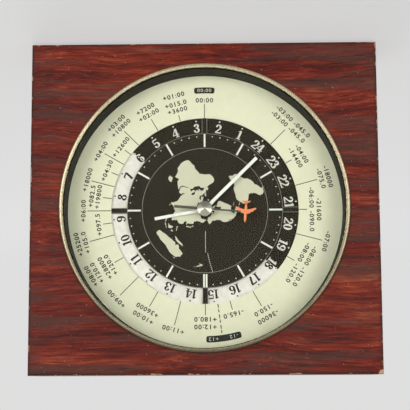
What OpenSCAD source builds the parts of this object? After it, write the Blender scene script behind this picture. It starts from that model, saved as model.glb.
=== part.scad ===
// World time clock: a wooden desk case with a deep round dial, a turning
// 24-hour disc behind an arc-shaped window, three hands and a battery movement.
// Depths are measured from the front face of the wood towards the back.

/* [Case] */
// Width of the wooden case
case_w = 165; // [150:1:200]
// Height of the wooden case without its feet
case_h = 158; // [156:1:200]
// Depth of the wooden case
case_d = 54; // [52:1:80]
// Thickness of the front panel
panel_t = 12; // [8:1:12]
// Thickness of the top, bottom and side boards
board_t = 8; // [5:0.5:8]
// Rounding of the panel's front edges
edge_r = 1.2; // [0.4:0.1:3]
// Side of the square blocks in the rear corners
block_w = 12; // [9:0.5:12]
// Radius of a foot pad
foot_r = 6; // [4:0.5:10]
// Clearance of the dial's flange in the case
ring_gap = 0.3; // [0.2:0.05:0.6]
// Thickness of a foot pad
foot_t = 1.2; // [0.8:0.1:3]
// Distance of the foot pads from the case's edges
foot_inset = 14; // [12:1:20]

/* [Rear cover] */
// Thickness of the rear cover
cover_t = 2.5; // [2:0.1:3]
// Depth of the recess behind the rear cover
rear_recess = 8.5; // [8:0.5:12]
// Gap between the rear cover and the boards
cover_gap = 0.3; // [0.1:0.05:0.6]
// Length of a rear screw in its corner block
rear_screw_len = 12; // [8:0.5:16]
// Gap round the battery door
door_gap = 0.3; // [0.2:0.05:0.5]
// Radius of the battery door's two hinge trunnions
trunnion_r = 0.6; // [0.4:0.1:0.8]
// Length of a trunnion in the cover
trunnion_len = 1.5; // [1:0.1:2.5]
// Width of the finger groove in the battery door
groove_w = 14; // [8:1:24]
// Height of the time-setting knob
knob_len = 5.5; // [4:0.1:6]
// Radius of the time-setting knob
knob_r = 8; // [6:0.5:10]
// Number of flutes round the knob
knob_flutes = 24; // [12:2:36]

/* [Bezel and crystal] */
// Outer radius of the bezel
bezel_r = 68.8; // [67:0.1:69]
// Visible width of the bezel
bezel_w = 2.1; // [1.9:0.1:3]
// Height of the bezel over the wood
bezel_proud = 1.6; // [1.2:0.1:3]
// Width of the bezel's flange on the wood
bezel_seat = 1.1; // [0.8:0.1:1.3]
// Thickness of the lip that holds the crystal
lip_t = 0.9; // [0.6:0.1:1.1]
// Thickness of the crystal
crystal_t = 2; // [1.5:0.1:3]
// Width of the crystal's edge under the lip
crystal_seat = 0.5; // [0.3:0.1:0.7]

/* [Dial] */
// Depth of the dial's front face behind the wood's front face
dial_recess = 15; // [14:0.5:18]
// Thickness of the dial plate
dial_t = 1; // [0.6:0.1:1.5]
// Inner radius of the black wall round the dial
wall_r = 66.3; // [64:0.1:66.4]
// Outer radius of the arc windows
window_out = 45.3; // [44:0.1:47]
// Inner radius of the arc windows
window_in = 37.7; // [37.6:0.1:39]
// Width of the four bridges between the windows
bridge_w = 2.6; // [2:0.1:4]
// Inner radius of the hour batons
baton_in = 31; // [29:0.5:33]
// Length of an hour baton
baton_len = 6.3; // [4:0.1:6.4]
// Width of an hour baton
baton_w = 0.85; // [0.6:0.05:1.4]
// Gap between the two batons at twelve
baton_gap = 0.35; // [0.2:0.05:1]
// Height of the batons over the dial
baton_t = 0.25; // [0.15:0.05:0.5]
// Overlap of the dial behind the black wall
dial_seat = 2.6; // [1.5:0.1:2.6]
// Thickness of the 24-hour disc
disc_t = 0.8; // [0.5:0.1:1]
// Gap between the dial and the 24-hour disc
disc_gap = 0.6; // [0.4:0.1:0.8]
// Overlap of the 24-hour disc behind the dial
disc_lap = 1.4; // [1:0.1:3]

/* [Dial carrier] */
// Thickness of the carrier's flange and floor
carrier_t = 1.6; // [1.2:0.1:2]
// Depth of the carrier's dish behind the dial
dish_d = 4; // [4:0.1:5]
// Radius of the opening in the dish
dish_open = 22; // [20:0.5:24]
// Radius of a fixing lug
lug_r = 4; // [3:0.1:4]
// Distance of a fixing lug from the centre
lug_at = 76; // [75:0.5:76]
// Radius of the screws that hold the carrier
carrier_screw_r = 1.2; // [0.8:0.1:1.5]

/* [Hands] */
// Direction of the minute hand, clockwise from twelve
minute_turn = 225.3; // [0:0.1:360]
// Direction of the hour hand, clockwise from twelve
hour_turn = 79.8; // [0:0.1:360]
// Direction of the aeroplane on the second hand, clockwise from twelve
second_turn = 274.8; // [0:0.1:360]
// Height of the hour hand over the dial
hour_rise = 1.6; // [1.3:0.1:2]
// Step in height from one hand to the next
hand_step = 1.8; // [1.5:0.1:2.2]
// Thickness of the hour and minute hands
hand_t = 0.4; // [0.3:0.05:0.6]
// Thickness of the second hand
second_t = 0.3; // [0.2:0.05:0.4]
// Width of the ring round a hand's hole
hub_w = 1; // [0.7:0.05:1.3]
// Length of a pipe in front of the hand it carries
pipe_end = 0.4; // [0.2:0.05:0.6]
// Length of the minute hand
minute_len = 35.3; // [28:0.1:37]
// Width of the minute hand
minute_w = 1.55; // [1.2:0.05:2.4]
// Length of the hour hand
hour_len = 24.5; // [18:0.1:30]
// Width of the hour hand at its tip
hour_w = 1.5; // [1.2:0.05:2.4]
// Width of the hour hand at its hub
hour_root_w = 1.3; // [1:0.05:2.2]
// Distance of the aeroplane from the centre
plane_at = 19.6; // [16:0.1:26]
// Length of the second hand's counterweight
tail_len = 14.7; // [8:0.1:20]
// Width of the counterweight
tail_w = 1.3; // [0.8:0.1:2]
// Width of the second hand's arm
arm_w = 0.8; // [0.6:0.05:1.4]
// Radius of the cap over the hands
cap_r = 3.6; // [3.4:0.1:5]
// Height of the cap
cap_h = 2.3; // [1.5:0.1:3]

/* [Aeroplane] */
// Length of the aeroplane
plane_len = 10.6; // [8:0.1:14]
// Wing span of the aeroplane
plane_span = 9.8; // [7:0.1:13]
// Radius of the aeroplane's fuselage
plane_r = 0.65; // [0.5:0.05:0.9]
// Thickness of the aeroplane's wings
plane_wing_t = 0.3; // [0.2:0.05:0.5]

/* [Movement] */
// Width of the movement's housing
move_w = 66; // [66:0.5:72]
// Height of the housing above the hands' axis
move_up = 30; // [30:0.5:34]
// Height of the housing below the hands' axis
move_down = 26; // [26:0.5:28]
// Wall of the housing
move_wall = 1.5; // [1.2:0.1:2]
// Thickness of the housing's front and rear plates
plate_t = 2; // [1.6:0.1:2]
// Thickness of the middle plate
middle_t = 1.2; // [1:0.1:1.4]
// Distance between the axes of meshing wheels at the centre
axis_gap = 12; // [12:0.1:12.4]
// Distance between the axes of the rotor and the fifth wheel
rotor_gap = 9.24; // [9.1:0.02:9.4]
// Thickness of a wheel
wheel_t = 1; // [0.8:0.05:1.1]
// Step from one layer of wheels to the next in the motion work
motion_step = 1.4; // [1.4:0.05:1.6]
// Step from one layer of wheels to the next in the going train
going_step = 1.6; // [1.6:0.05:1.8]
// Radius of the wheels' arbors
arbor_r = 0.5; // [0.4:0.05:0.55]
// Running clearance round an arbor or pipe
run_gap = 0.05; // [0.03:0.01:0.08]
// Wall of the minute pipe
minute_wall = 0.65; // [0.5:0.05:0.7]
// Wall of the hour pipe
hour_wall = 0.7; // [0.5:0.05:0.75]
// Wall of the brass bush round the hour pipe
bush_wall = 0.9; // [0.7:0.05:0.95]
// Radius of the setting stem
stem_r = 1.2; // [1:0.1:1.5]
// Radius of the rotor's magnet
magnet_r = 2.4; // [2:0.1:2.8]
// Air gap round the rotor's magnet
magnet_gap = 0.4; // [0.3:0.05:0.6]
// Radius of the coil's winding
coil_r = 2.7; // [2.2:0.1:2.8]
// Length of the coil's winding
coil_len = 17; // [12:0.5:20]
// Width of the stator's two arms and of the core's ends
stator_arm = 4; // [3:0.1:5]

/* [Battery] */
// Radius of the battery cell
cell_r = 7.1; // [7:0.05:7.25]
// Length of the battery cell
cell_len = 50.4; // [49:0.1:50.5]
// Wall of the battery tray
tray_wall = 1.4; // [1:0.1:1.6]
// Clearance round the cell in its tray
cell_gap = 0.4; // [0.2:0.1:0.6]
// Space between the cell and the battery door
cell_rear = 0.8; // [0.4:0.1:1.5]
// Radius of the two leads from the cell to the circuit board
lead_r = 0.4; // [0.3:0.05:0.45]
// Space for the contacts at each end of the cell
contact_space = 2.8; // [2.4:0.1:3.5]

/* [Hidden] */
$fn = 64;

tiny = 0.01;
// Teeth reach and stand back from the pitch circle by these shares of a module
tooth_tip = 0.75;
tooth_root = 1.05;
cover_depth = case_d - rear_recess;
case_front_y = bezel_proud - (bezel_proud + case_d) / 2;
dial_z = foot_t + case_h / 2;
inner_w = case_w - 2 * board_t;
inner_h = case_h - 2 * board_t;
opening_r = bezel_r - bezel_seat;
bezel_in = bezel_r - bezel_w;
crystal_r = bezel_in + crystal_seat;
crystal_depth = lip_t - bezel_proud;
crystal_rear = crystal_depth + crystal_t;
dial_rear = dial_recess + dial_t;
dial_r = opening_r + dial_seat - 1;
flange_r = opening_r + dial_seat;
disc_depth = dial_rear + disc_gap;
disc_rear = disc_depth + disc_t;
disc_r = window_out + disc_lap;
disc_room = 3.3;
dish_r = disc_r + disc_room;
floor_rear = dial_rear + dish_d;

// Depths of the movement's plates and wheel layers
front_plate = floor_rear;
front_rear = front_plate + plate_t;
layer_gap = motion_step - wheel_t;
function motion_layer(i) = front_rear + layer_gap + i * motion_step;
middle = motion_layer(3);
middle_rear = middle + middle_t;
function going_layer(i) = middle_rear + (going_step - wheel_t) + i * going_step;
back_plate = going_layer(4);
back_rear = back_plate + plate_t;
pinion_over = 0.1;
shake = 0.1;
arbor_front = middle + 0.2;
arbor_rear = back_rear - 0.4;

// Places of the arbors, as angle and distance from the hands' axis
function polar(a, r) = [r * cos(a), r * sin(a)];
minute_wheel_angle = 100;
idler_angle = 40;
third_angle = 200;
fifth_angle = 20;
rotor_angle = 340;
stem_angle = 120;
minute_wheel_at = polar(minute_wheel_angle, axis_gap);
idler_at = polar(idler_angle, axis_gap);
third_at = polar(third_angle, axis_gap);
fifth_at = polar(fifth_angle, axis_gap);

// Numbers of teeth
cannon_z = 12;
minute_wheel_z = 36;
minute_pinion_z = 10;
hour_z = 40;
hour_drive_z = 20;
idler_wheel_z = 40;
idler_pinion_z = 30;
day_z = 30;
leaf_z = 8;
centre_z = 64;
third_z = 60;
second_z = 40;
fifth_z = 48;
rotor_module = 2 * rotor_gap / (fifth_z + leaf_z);
rotor_at = fifth_at + polar(rotor_angle, rotor_gap);
stem_at = minute_wheel_at + polar(stem_angle, axis_gap);

// Size of a pair's teeth from its centre distance
function pair_module(z1, z2) = 2 * axis_gap / (z1 + z2);
m_motion = pair_module(cannon_z, minute_wheel_z);
m_hour = pair_module(minute_pinion_z, hour_z);
m_idler = pair_module(hour_drive_z, idler_wheel_z);
m_day = pair_module(idler_pinion_z, day_z);
m_centre = pair_module(leaf_z, centre_z);
m_third = pair_module(leaf_z, third_z);
m_second = pair_module(leaf_z, second_z);

// Turn of the second wheel of a pair that puts its gap on the first wheel's tooth
function mesh_turn(angle, z1, turn1, z2) =
    angle + 180 - 180 / z2 + (angle - turn1) * z1 / z2;

minute_wheel_turn = mesh_turn(minute_wheel_angle, cannon_z, 0, minute_wheel_z);

// Radii of the concentric pipes
minute_bore = arbor_r + run_gap;
minute_pipe = minute_bore + minute_wall;
hour_bore = minute_pipe + run_gap;
hour_pipe = hour_bore + hour_wall;
bush_bore = hour_pipe + run_gap;
bush_r = bush_bore + bush_wall;
bush_front = dial_recess - 0.5;
day_hub_r = bush_r + 1.4;

// Depths of the hands' front faces
hour_front = dial_recess - hour_rise - hand_t;
minute_front = hour_front - hand_step;
second_front = minute_front - hand_step;

// Battery bay, below the movement's housing
bay_in_r = cell_r + cell_gap;
bay_len = cell_len + 2 * contact_space;
bay_h = 2 * bay_in_r;
tray_h = bay_h + 2 * tray_wall;
cell_y = -move_down - tray_h / 2;
tray_rear = cover_depth - cover_gap;
cell_depth = min(tray_rear - cell_rear - cell_r, back_rear + 1.2);
tray_front = cell_depth - bay_in_r - tray_wall;
window_w = bay_len - 2;
window_h = bay_h + 1;
hinge_y = cell_y - window_h / 2 + door_gap + cover_t / 2;
hinge_depth = cover_depth + cover_t / 2;
pillar_r = 2.2;
pillar_foot_r = 3.4;
move_screw_r = 0.9;
screw_gap = 0.05;
corner_r = 4;
block_x = inner_w / 2 - block_w / 2;
block_y = inner_h / 2 - block_w / 2;
rear_screw_r = 1.4;
stator_depth = going_layer(1) + 0.1;
stator_t = 1;
stator_w = 8;
magnet_bore = 0.9;
coil_gap = 7.5;
core_t = 1.2;
coil_x = rotor_at.x + coil_gap;
bobbin_end = 0.5;
bobbin_core = 1.5;
stator_half = coil_len / 2 + bobbin_end + stator_arm;
board_depth = stator_depth;
post_r = 1.1;
board_w = 24;
board_h = 8;
board_x = -move_w / 2 + corner_r + pillar_r + 1.3 + board_w / 2;
board_y = -move_down + move_wall + 1 + board_h / 2;
pcb_t = 0.8;
strip_t = 0.4;
strip_w = 6;
door_axis_w = window_w / 2 - door_gap;
lead_room = 0.2;
lead_depth = board_depth + pcb_t + lead_r;
tag_x = bay_len / 2 - strip_t - lead_r;
lead_x = move_w / 2 - corner_r - pillar_r - lead_r - screw_gap - lead_room;
lead_y = -move_down + move_wall + lead_r + screw_gap;
tunnel_r = bay_in_r + lead_r + 3 * lead_room;
tunnel_y = cell_y + sqrt(max(0, pow(tunnel_r, 2) - pow(cell_depth - lead_depth, 2)));

// Places a shape drawn on the dial's plane, seen from the front
module on_dial()
    translate([0, case_front_y, dial_z])
        rotate([90, 0, 0])
            children();

// Extrudes a flat shape from one depth over a thickness
module slab(depth, t)
    translate([0, 0, -(depth + t)])
        linear_extrude(height = t)
            children();

// A true cylinder between two depths
module rod(r, from, to)
    translate([0, 0, -to])
        cylinder(r = r, h = to - from);

// A tube between two depths
module tube(r_out, r_in, from, to)
    difference() {
        rod(r_out, from, to);
        rod(r_in, from - 1, to + 1);
    }

// Turns a shape that points at twelve to a clock direction
module at_clock(turn)
    rotate(-turn)
        children();

module at(p)
    translate([p.x, p.y, 0])
        children();

module round_rect(w, h, r)
    offset(r = r, $fn = 24)
        square([w - 2 * r, h - 2 * r], center = true);

module four_corners(x, y)
    for (sx = [-1, 1], sy = [-1, 1])
        translate([sx * x, sy * y, 0])
            children();

// A wheel's outline: straight-flanked teeth with room for backlash
module gear_2d(z, m, turn) {
    pitch = m * z / 2;
    tip = pitch + tooth_tip * m;
    root = pitch - tooth_root * m;
    half = 90 / z;
    foot = half * (z < 12 ? 0.95 : 1.05);
    top = half * 0.38;
    points = [
        for (k = [0 : z - 1], p = [[-foot, root], [-top, tip], [top, tip], [foot, root]])
            p[1] * [cos(turn + k * 360 / z + p[0]), sin(turn + k * 360 / z + p[0])]
    ];
    polygon(points);
}

// A spoked web inside a wheel's rim
module spokes_2d(rim, hub, count) {
    difference() {
        circle(r = rim + tiny);
        difference() {
            circle(r = rim);
            circle(r = hub);
            for (k = [0 : count - 1])
                rotate(k * 360 / count)
                    translate([0, -0.6])
                        square([rim + 1, 1.2]);
        }
    }
}

// A spoked wheel with its teeth
module wheel(z, m, turn, depth, bore) {
    rim = m * z / 2 - 2 * tooth_root * m;
    difference() {
        slab(depth, wheel_t)
            difference() {
                gear_2d(z, m, turn);
                difference() {
                    circle(r = rim - 0.5);
                    spokes_2d(rim - 0.5, 2.1, 5);
                }
            }
        rod(bore, depth - 1, depth + wheel_t + 1);
    }
}

// A small pinion that reaches a little past its wheel on both sides
module pinion(z, m, turn, depth)
    slab(depth - pinion_over, wheel_t + 2 * pinion_over)
        gear_2d(z, m, turn);

module case_front()
    color("#5e1f1b")
        translate([0, case_front_y, dial_z])
            difference() {
                intersection() {
                    panel_slice(case_w, case_h);
                    rotate([0, 90, 0])
                        panel_slice(case_h, case_w);
                }
                rotate([90, 0, 0])
                    rod(opening_r, -1, panel_t + 1);
                rotate([90, 0, 0])
                    four_lugs()
                        rod(carrier_screw_r + screw_gap, panel_t - 6, panel_t + 1);
            }

// The panel's section with rounded front edges, extruded along its other side
module panel_slice(w, h)
    translate([0, 0, -h / 2])
        linear_extrude(height = h)
            difference() {
                translate([-w / 2, 0])
                    square([w, panel_t]);
                for (s = [-1, 1])
                    translate([s * (w / 2 - edge_r), edge_r])
                        difference() {
                            translate([s > 0 ? 0 : -edge_r - 1, -edge_r - 1])
                                square([edge_r + 1, edge_r + 1]);
                            circle(r = edge_r);
                        }
            }

// A board of the case, relieved where the dial's flange comes near
module board(w, h, x, z)
    color("#5a1d1a")
        difference() {
            translate([x - w / 2, case_front_y + panel_t, z])
                cube([w, case_d - panel_t, h]);
            on_dial()
                rod(flange_r + ring_gap, panel_t - 1, dial_rear + carrier_t + ring_gap);
        }

module case_top() board(case_w, board_t, 0, foot_t + case_h - board_t);
module case_bottom() board(case_w, board_t, 0, foot_t);
module case_left() board(board_t, inner_h, -(case_w - board_t) / 2, foot_t + board_t);
module case_right() board(board_t, inner_h, (case_w - board_t) / 2, foot_t + board_t);

module corner_blocks()
    color("#b08a5c")
        on_dial()
            difference() {
                four_corners(block_x, block_y)
                    slab(panel_t, cover_depth - panel_t)
                        square(block_w, center = true);
                four_corners(block_x, block_y)
                    rod(rear_screw_r + screw_gap, cover_depth - rear_screw_len - 2, cover_depth + 1);
            }

module feet()
    color("#2a2a2a")
        for (sx = [-1, 1], sy = [-1, 1])
            translate([
                sx * (case_w / 2 - foot_inset),
                case_front_y + case_d / 2 + sy * (case_d / 2 - foot_inset),
                0
            ])
                cylinder(r = foot_r, h = foot_t);

module rear_cover()
    color("#26211f")
        on_dial()
            difference() {
                slab(cover_depth, cover_t)
                    difference() {
                        square([inner_w - 2 * cover_gap, inner_h - 2 * cover_gap], center = true);
                        translate([0, cell_y])
                            square([window_w, window_h], center = true);
                    }
                four_corners(block_x, block_y)
                    rod(rear_screw_r + 0.2, cover_depth - 1, cover_depth + cover_t + 1);
                at(stem_at)
                    rod(stem_r + 0.5, cover_depth - 1, cover_depth + cover_t + 1);
                at(stem_at)
                    rod(knob_r + 0.6, cover_depth + cover_t - 0.8, cover_depth + cover_t + 1);
                translate([0, hinge_y, -hinge_depth])
                    rotate([0, 90, 0])
                        cylinder(r = trunnion_r + run_gap, h = window_w + 2 * trunnion_len + 0.4, center = true);
            }

module rear_screws()
    color("#b9a26a")
        on_dial()
            four_corners(block_x, block_y) {
                rod(rear_screw_r, cover_depth - rear_screw_len, cover_depth + cover_t + 1);
                pan_head(2 * rear_screw_r, cover_depth + cover_t);
            }

// A screw's domed head with a cross recess, standing to the rear
module pan_head(r, depth)
    difference() {
        translate([0, 0, -depth])
            mirror([0, 0, 1])
                rotate_extrude()
                    intersection() {
                        translate([0, -r * 0.6])
                            circle(r = r * 1.2);
                        square([r, r]);
                    }
        for (a = [0, 90])
            rotate(a)
                slab(depth + r * 0.35, r)
                    square([r * 1.1, r * 0.22], center = true);
    }

module battery_door()
    color("#2b2523")
        on_dial()
            difference() {
                union() {
                    translate([-door_axis_w, hinge_y, -(cover_depth + cover_t)])
                        cube([2 * door_axis_w, cell_y + window_h / 2 - door_gap - hinge_y, cover_t]);
                    translate([0, hinge_y, -hinge_depth])
                        rotate([0, 90, 0]) {
                            cylinder(r = cover_t / 2, h = 2 * door_axis_w, center = true);
                            cylinder(r = trunnion_r, h = window_w + 2 * trunnion_len, center = true);
                        }
                }
                for (k = [0 : 3])
                    translate([0, cell_y + window_h / 2 - 3 - 1.6 * k, -(cover_depth + cover_t)])
                        rotate([0, 90, 0])
                            cylinder(r = 0.5, h = groove_w, center = true);
            }

module bezel()
    color("#b79a63")
        on_dial()
            rotate_extrude()
                difference() {
                    union() {
                        translate([bezel_in, 0])
                            square([bezel_w - bezel_proud * 0.5, bezel_proud]);
                        translate([bezel_in, 0])
                            square([bezel_w, bezel_proud * 0.5]);
                        translate([bezel_r - bezel_proud * 0.5, bezel_proud * 0.5])
                            circle(r = bezel_proud * 0.5);
                        translate([bezel_in, -panel_t * 0.35])
                            square([opening_r - bezel_in, panel_t * 0.35 + tiny]);
                    }
                    translate([0, -panel_t])
                        square([crystal_r, panel_t - crystal_depth]);
                }

module crystal()
    color([0.85, 0.92, 0.92, 0.3])
        on_dial()
            rod(crystal_r, crystal_depth, crystal_rear);

// The black wall between crystal and dial, with the flange that clamps the dial
module wall_ring()
    color("#1b1b1b")
        on_dial()
            rotate_extrude()
                polygon([
                    [wall_r + 0.2, -crystal_rear],
                    [crystal_r, -crystal_rear],
                    [crystal_r, -panel_t],
                    [flange_r, -panel_t],
                    [flange_r, -dial_recess],
                    [wall_r, -dial_recess]
                ]);

module dial()
    color("#dcdcba")
        on_dial()
            difference() {
                rod(dial_r, dial_recess, dial_rear);
                slab(dial_recess - 1, dial_t + 2)
                    difference() {
                        circle(r = window_out, $fn = 180);
                        circle(r = window_in, $fn = 180);
                        square([bridge_w, 3 * window_out], center = true);
                        square([3 * window_out, bridge_w], center = true);
                    }
                rod(bush_r, dial_recess - 1, dial_rear + 1);
            }

module hour_markers()
    color("white")
        on_dial()
            slab(dial_recess - baton_t, baton_t)
                for (hour = [0 : 11])
                    at_clock(30 * hour)
                        baton_2d(hour == 0);

module baton_2d(double) {
    shift = double ? (baton_w + baton_gap) / 2 : 0;
    for (s = double ? [-1, 1] : [1])
        translate([s * shift - baton_w / 2, baton_in])
            square([baton_w, baton_len]);
}

module four_lugs()
    for (k = [0 : 3])
        rotate(45 + 90 * k)
            translate([lug_at, 0, 0])
                children();

module dial_carrier()
    color("#202020")
        on_dial()
            difference() {
                union() {
                    slab(dial_rear, carrier_t)
                        difference() {
                            union() {
                                circle(r = flange_r);
                                for (k = [0 : 3])
                                    rotate(45 + 90 * k)
                                        translate([0, -lug_r])
                                            square([lug_at, 2 * lug_r]);
                            }
                            circle(r = dish_r);
                        }
                    tube(dish_r + carrier_t, dish_r, dial_rear, floor_rear);
                    slab(floor_rear - carrier_t, carrier_t)
                        difference() {
                            circle(r = dish_r + carrier_t / 2);
                            circle(r = dish_open);
                        }
                    four_lugs()
                        rod(lug_r, panel_t, dial_rear + carrier_t);
                }
                four_lugs()
                    rod(carrier_screw_r + screw_gap, panel_t - 1, floor_rear);
                move_corners()
                    rod(move_screw_r + screw_gap, dial_rear, floor_rear + 1);
            }

module carrier_screws()
    color("#b9a26a")
        on_dial()
            four_lugs() {
                rod(carrier_screw_r, panel_t - 5, dial_rear + carrier_t + 0.5);
                pan_head(2 * carrier_screw_r, dial_rear + carrier_t);
            }

module day_disc()
    color("#efefe8")
        on_dial()
            tube(disc_r, day_hub_r, disc_depth, disc_rear);

module day_wheel()
    color("#d8d8d0")
        on_dial()
            difference() {
                union() {
                    slab(disc_rear, wheel_t + pinion_over)
                        gear_2d(day_z, m_day, mesh_turn(idler_angle + 180, idler_pinion_z, 0, day_z));
                    rod(day_hub_r, disc_depth, disc_rear + tiny);
                    rod(bush_r + 1, disc_rear, front_plate - shake * 3);
                }
                rod(bush_r + run_gap, disc_depth - 1, front_plate + 1);
            }

// The 24-hour idler: one wheel inside the housing, one pinion outside it
module day_idler()
    color("#c8b070")
        on_dial()
            at(idler_at) {
                wheel(
                    idler_wheel_z, m_idler,
                    mesh_turn(idler_angle, hour_drive_z, 0, idler_wheel_z),
                    motion_layer(0), arbor_r - tiny
                );
                slab(disc_rear + 0.4, wheel_t - 0.2)
                    gear_2d(idler_pinion_z, m_day, 0);
                rod(arbor_r, disc_rear + 0.4, middle + middle_t / 2);
            }

module move_corners() {
    x = move_w / 2 - corner_r;
    for (sx = [-1, 1], y = [move_up - corner_r, corner_r - move_down])
        translate([sx * x, y, 0])
            children();
}

module move_outline(inset)
    translate([0, (move_up - move_down) / 2])
        round_rect(
            move_w - 2 * inset, move_up + move_down - 2 * inset,
            max(corner_r - inset, 1)
        );

module movement_case()
    color("#3a3a3c")
        on_dial()
            difference() {
                union() {
                    slab(front_plate, plate_t)
                        move_outline(0);
                    slab(front_rear - tiny, back_plate - front_rear + tiny)
                        difference() {
                            move_outline(0);
                            move_outline(move_wall);
                        }
                    move_corners() {
                        rod(pillar_foot_r, front_plate + 1, middle);
                        rod(pillar_r, front_plate + 1, back_plate);
                    }
                }
                move_corners()
                    rod(move_screw_r + screw_gap, front_plate - 1, back_plate + 1);
                rod(bush_r, front_plate - 1, front_rear + 1);
                at(minute_wheel_at)
                    rod(arbor_r + run_gap, front_plate - 1, front_rear + 1);
                at(idler_at)
                    rod(arbor_r + run_gap, front_plate - 1, front_rear + 1);
                at(stem_at)
                    rod(stem_r + run_gap, front_plate + 0.8, front_rear + 1);
                lead_way();
            }

module centre_bush()
    color("#c9a94f")
        on_dial()
            tube(bush_r, bush_bore, bush_front, front_rear);

module middle_plate()
    color("#e4e0d0")
        on_dial()
            difference() {
                union() {
                    slab(middle, middle_t)
                        move_outline(move_wall + 0.1);
                    for (s = [-1, 1])
                        translate([rotor_at.x + 2, s * (stator_half - stator_arm / 2), 0])
                            rod(post_r, middle, stator_depth);
                    for (s = [-1, 1])
                        translate([board_x + s * (board_w / 2 - 2), board_y, 0])
                            rod(post_r, middle, board_depth);
                }
                move_corners()
                    rod(pillar_r + run_gap, middle - 1, middle_rear + 1);
                rod(minute_pipe + run_gap, middle - 1, middle_rear + 1);
                for (p = [minute_wheel_at, idler_at, third_at, fifth_at, rotor_at])
                    at(p)
                        rod(arbor_r + run_gap, middle - 1, middle_rear + 1);
                at(stem_at)
                    rod(stem_r + run_gap, middle - 1, middle_rear + 1);
            }

module movement_back()
    color("#3a3a3c")
        on_dial()
            difference() {
                slab(back_plate, plate_t)
                    move_outline(0);
                move_corners()
                    rod(move_screw_r + screw_gap, back_plate - 1, back_rear + 1);
                for (p = [[0, 0], third_at, fifth_at, rotor_at])
                    at(p)
                        rod(arbor_r + run_gap, back_plate - 1, back_rear + 1);
                at(stem_at)
                    rod(stem_r + run_gap, back_plate - 1, back_rear + 1);
            }

module movement_screws()
    color("#b8b8ba")
        on_dial()
            move_corners() {
                rod(move_screw_r, floor_rear - carrier_t, back_rear + 0.5);
                pan_head(2 * move_screw_r, back_rear);
            }

module hour_wheel()
    color("#e8e4d6")
        on_dial()
            difference() {
                union() {
                    wheel(
                        hour_z, m_hour,
                        mesh_turn(minute_wheel_angle + 180, minute_pinion_z, 0, hour_z),
                        motion_layer(1), arbor_r
                    );
                    slab(motion_layer(0), motion_step + tiny)
                        gear_2d(hour_drive_z, m_idler, 0);
                    rod(hour_pipe, hour_front - pipe_end, motion_layer(1) + wheel_t);
                }
                rod(hour_bore, hour_front - 1, middle);
            }

module hour_hand()
    color("white")
        on_dial()
            at_clock(hour_turn)
                difference() {
                    slab(hour_front, hand_t) {
                        circle(r = hour_pipe + hub_w);
                        polygon([
                            [hour_root_w / 2, 0],
                            [hour_w / 2, hour_len],
                            [-hour_w / 2, hour_len],
                            [-hour_root_w / 2, 0]
                        ]);
                    }
                    rod(hour_pipe, hour_front - 1, hour_front + 1);
                }

module minute_pinion()
    color("#d9b65a")
        on_dial()
            difference() {
                union() {
                    pinion(cannon_z, m_motion, 0, motion_layer(2));
                    rod(minute_pipe, minute_front - pipe_end, going_layer(0) + wheel_t + 0.4);
                }
                rod(minute_bore, minute_front - 1, going_layer(1));
            }

module clutch_washer()
    color("#c0c0c4")
        on_dial()
            slab(going_layer(0) + wheel_t + shake, 0.25)
                difference() {
                    circle(r = 2);
                    circle(r = minute_pipe);
                    for (k = [0 : 2])
                        rotate(120 * k)
                            translate([1.6, -0.25])
                                square([1, 0.5]);
                }

module minute_hand()
    color("white")
        on_dial()
            at_clock(minute_turn)
                difference() {
                    slab(minute_front, hand_t) {
                        circle(r = minute_pipe + hub_w);
                        translate([-minute_w / 2, 0])
                            square([minute_w, minute_len]);
                    }
                    rod(minute_pipe, minute_front - 1, minute_front + 1);
                }

module minute_wheel()
    color("#e8e4d6")
        on_dial()
            at(minute_wheel_at) {
                wheel(
                    minute_wheel_z, m_motion,
                    minute_wheel_turn,
                    motion_layer(2), arbor_r - tiny
                );
                slab(motion_layer(1) - pinion_over, motion_step + pinion_over + tiny)
                    gear_2d(minute_pinion_z, m_hour, 0);
                rod(arbor_r, front_plate + 0.4, middle + middle_t / 2);
            }

module setting_stem()
    color("#c8b070")
        on_dial()
            at(stem_at) {
                slab(motion_layer(2) - pinion_over, wheel_t + 2 * pinion_over)
                    gear_2d(
                        cannon_z, m_motion,
                        mesh_turn(stem_angle, minute_wheel_z, minute_wheel_turn, cannon_z)
                    );
                rod(stem_r, front_plate + 1, cover_depth + cover_t + 2);
            }

module setting_knob()
    color("#1d1d1f")
        on_dial()
            at(stem_at)
                difference() {
                    slab(cover_depth + cover_t, knob_len)
                        difference() {
                            circle(r = knob_r);
                            for (k = [0 : knob_flutes - 1])
                                rotate(k * 360 / knob_flutes)
                                    translate([knob_r + 0.35, 0])
                                        circle(r = 0.8, $fn = 12);
                        }
                    rod(stem_r, cover_depth, cover_depth + cover_t + 2);
                    rod(knob_r - 2, cover_depth + cover_t + knob_len - 0.8, cover_depth + cover_t + knob_len + 1);
                }

module centre_wheel()
    color("#d9b65a")
        on_dial()
            wheel(
                centre_z, m_centre,
                mesh_turn(third_angle + 180, leaf_z, 0, centre_z),
                going_layer(0), minute_pipe + run_gap
            );

module third_wheel()
    color("#d9b65a")
        on_dial()
            at(third_at) {
                wheel(
                    third_z, m_third,
                    mesh_turn(third_angle, leaf_z, 0, third_z),
                    going_layer(1), arbor_r - tiny
                );
                slab(going_layer(0) - pinion_over, going_step + pinion_over + tiny)
                    gear_2d(leaf_z, m_centre, 0);
                rod(arbor_r, arbor_front, arbor_rear);
            }

// The second hand's arbor runs through the pipes to the front
module second_wheel()
    color("#e8e4d6")
        on_dial() {
            wheel(
                second_z, m_second,
                mesh_turn(fifth_angle + 180, leaf_z, 0, second_z),
                going_layer(2), arbor_r - tiny
            );
            slab(going_layer(1) - pinion_over, going_step + pinion_over + tiny)
                gear_2d(leaf_z, m_third, 0);
            rod(arbor_r, second_front - 0.2, arbor_rear);
        }

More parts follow.
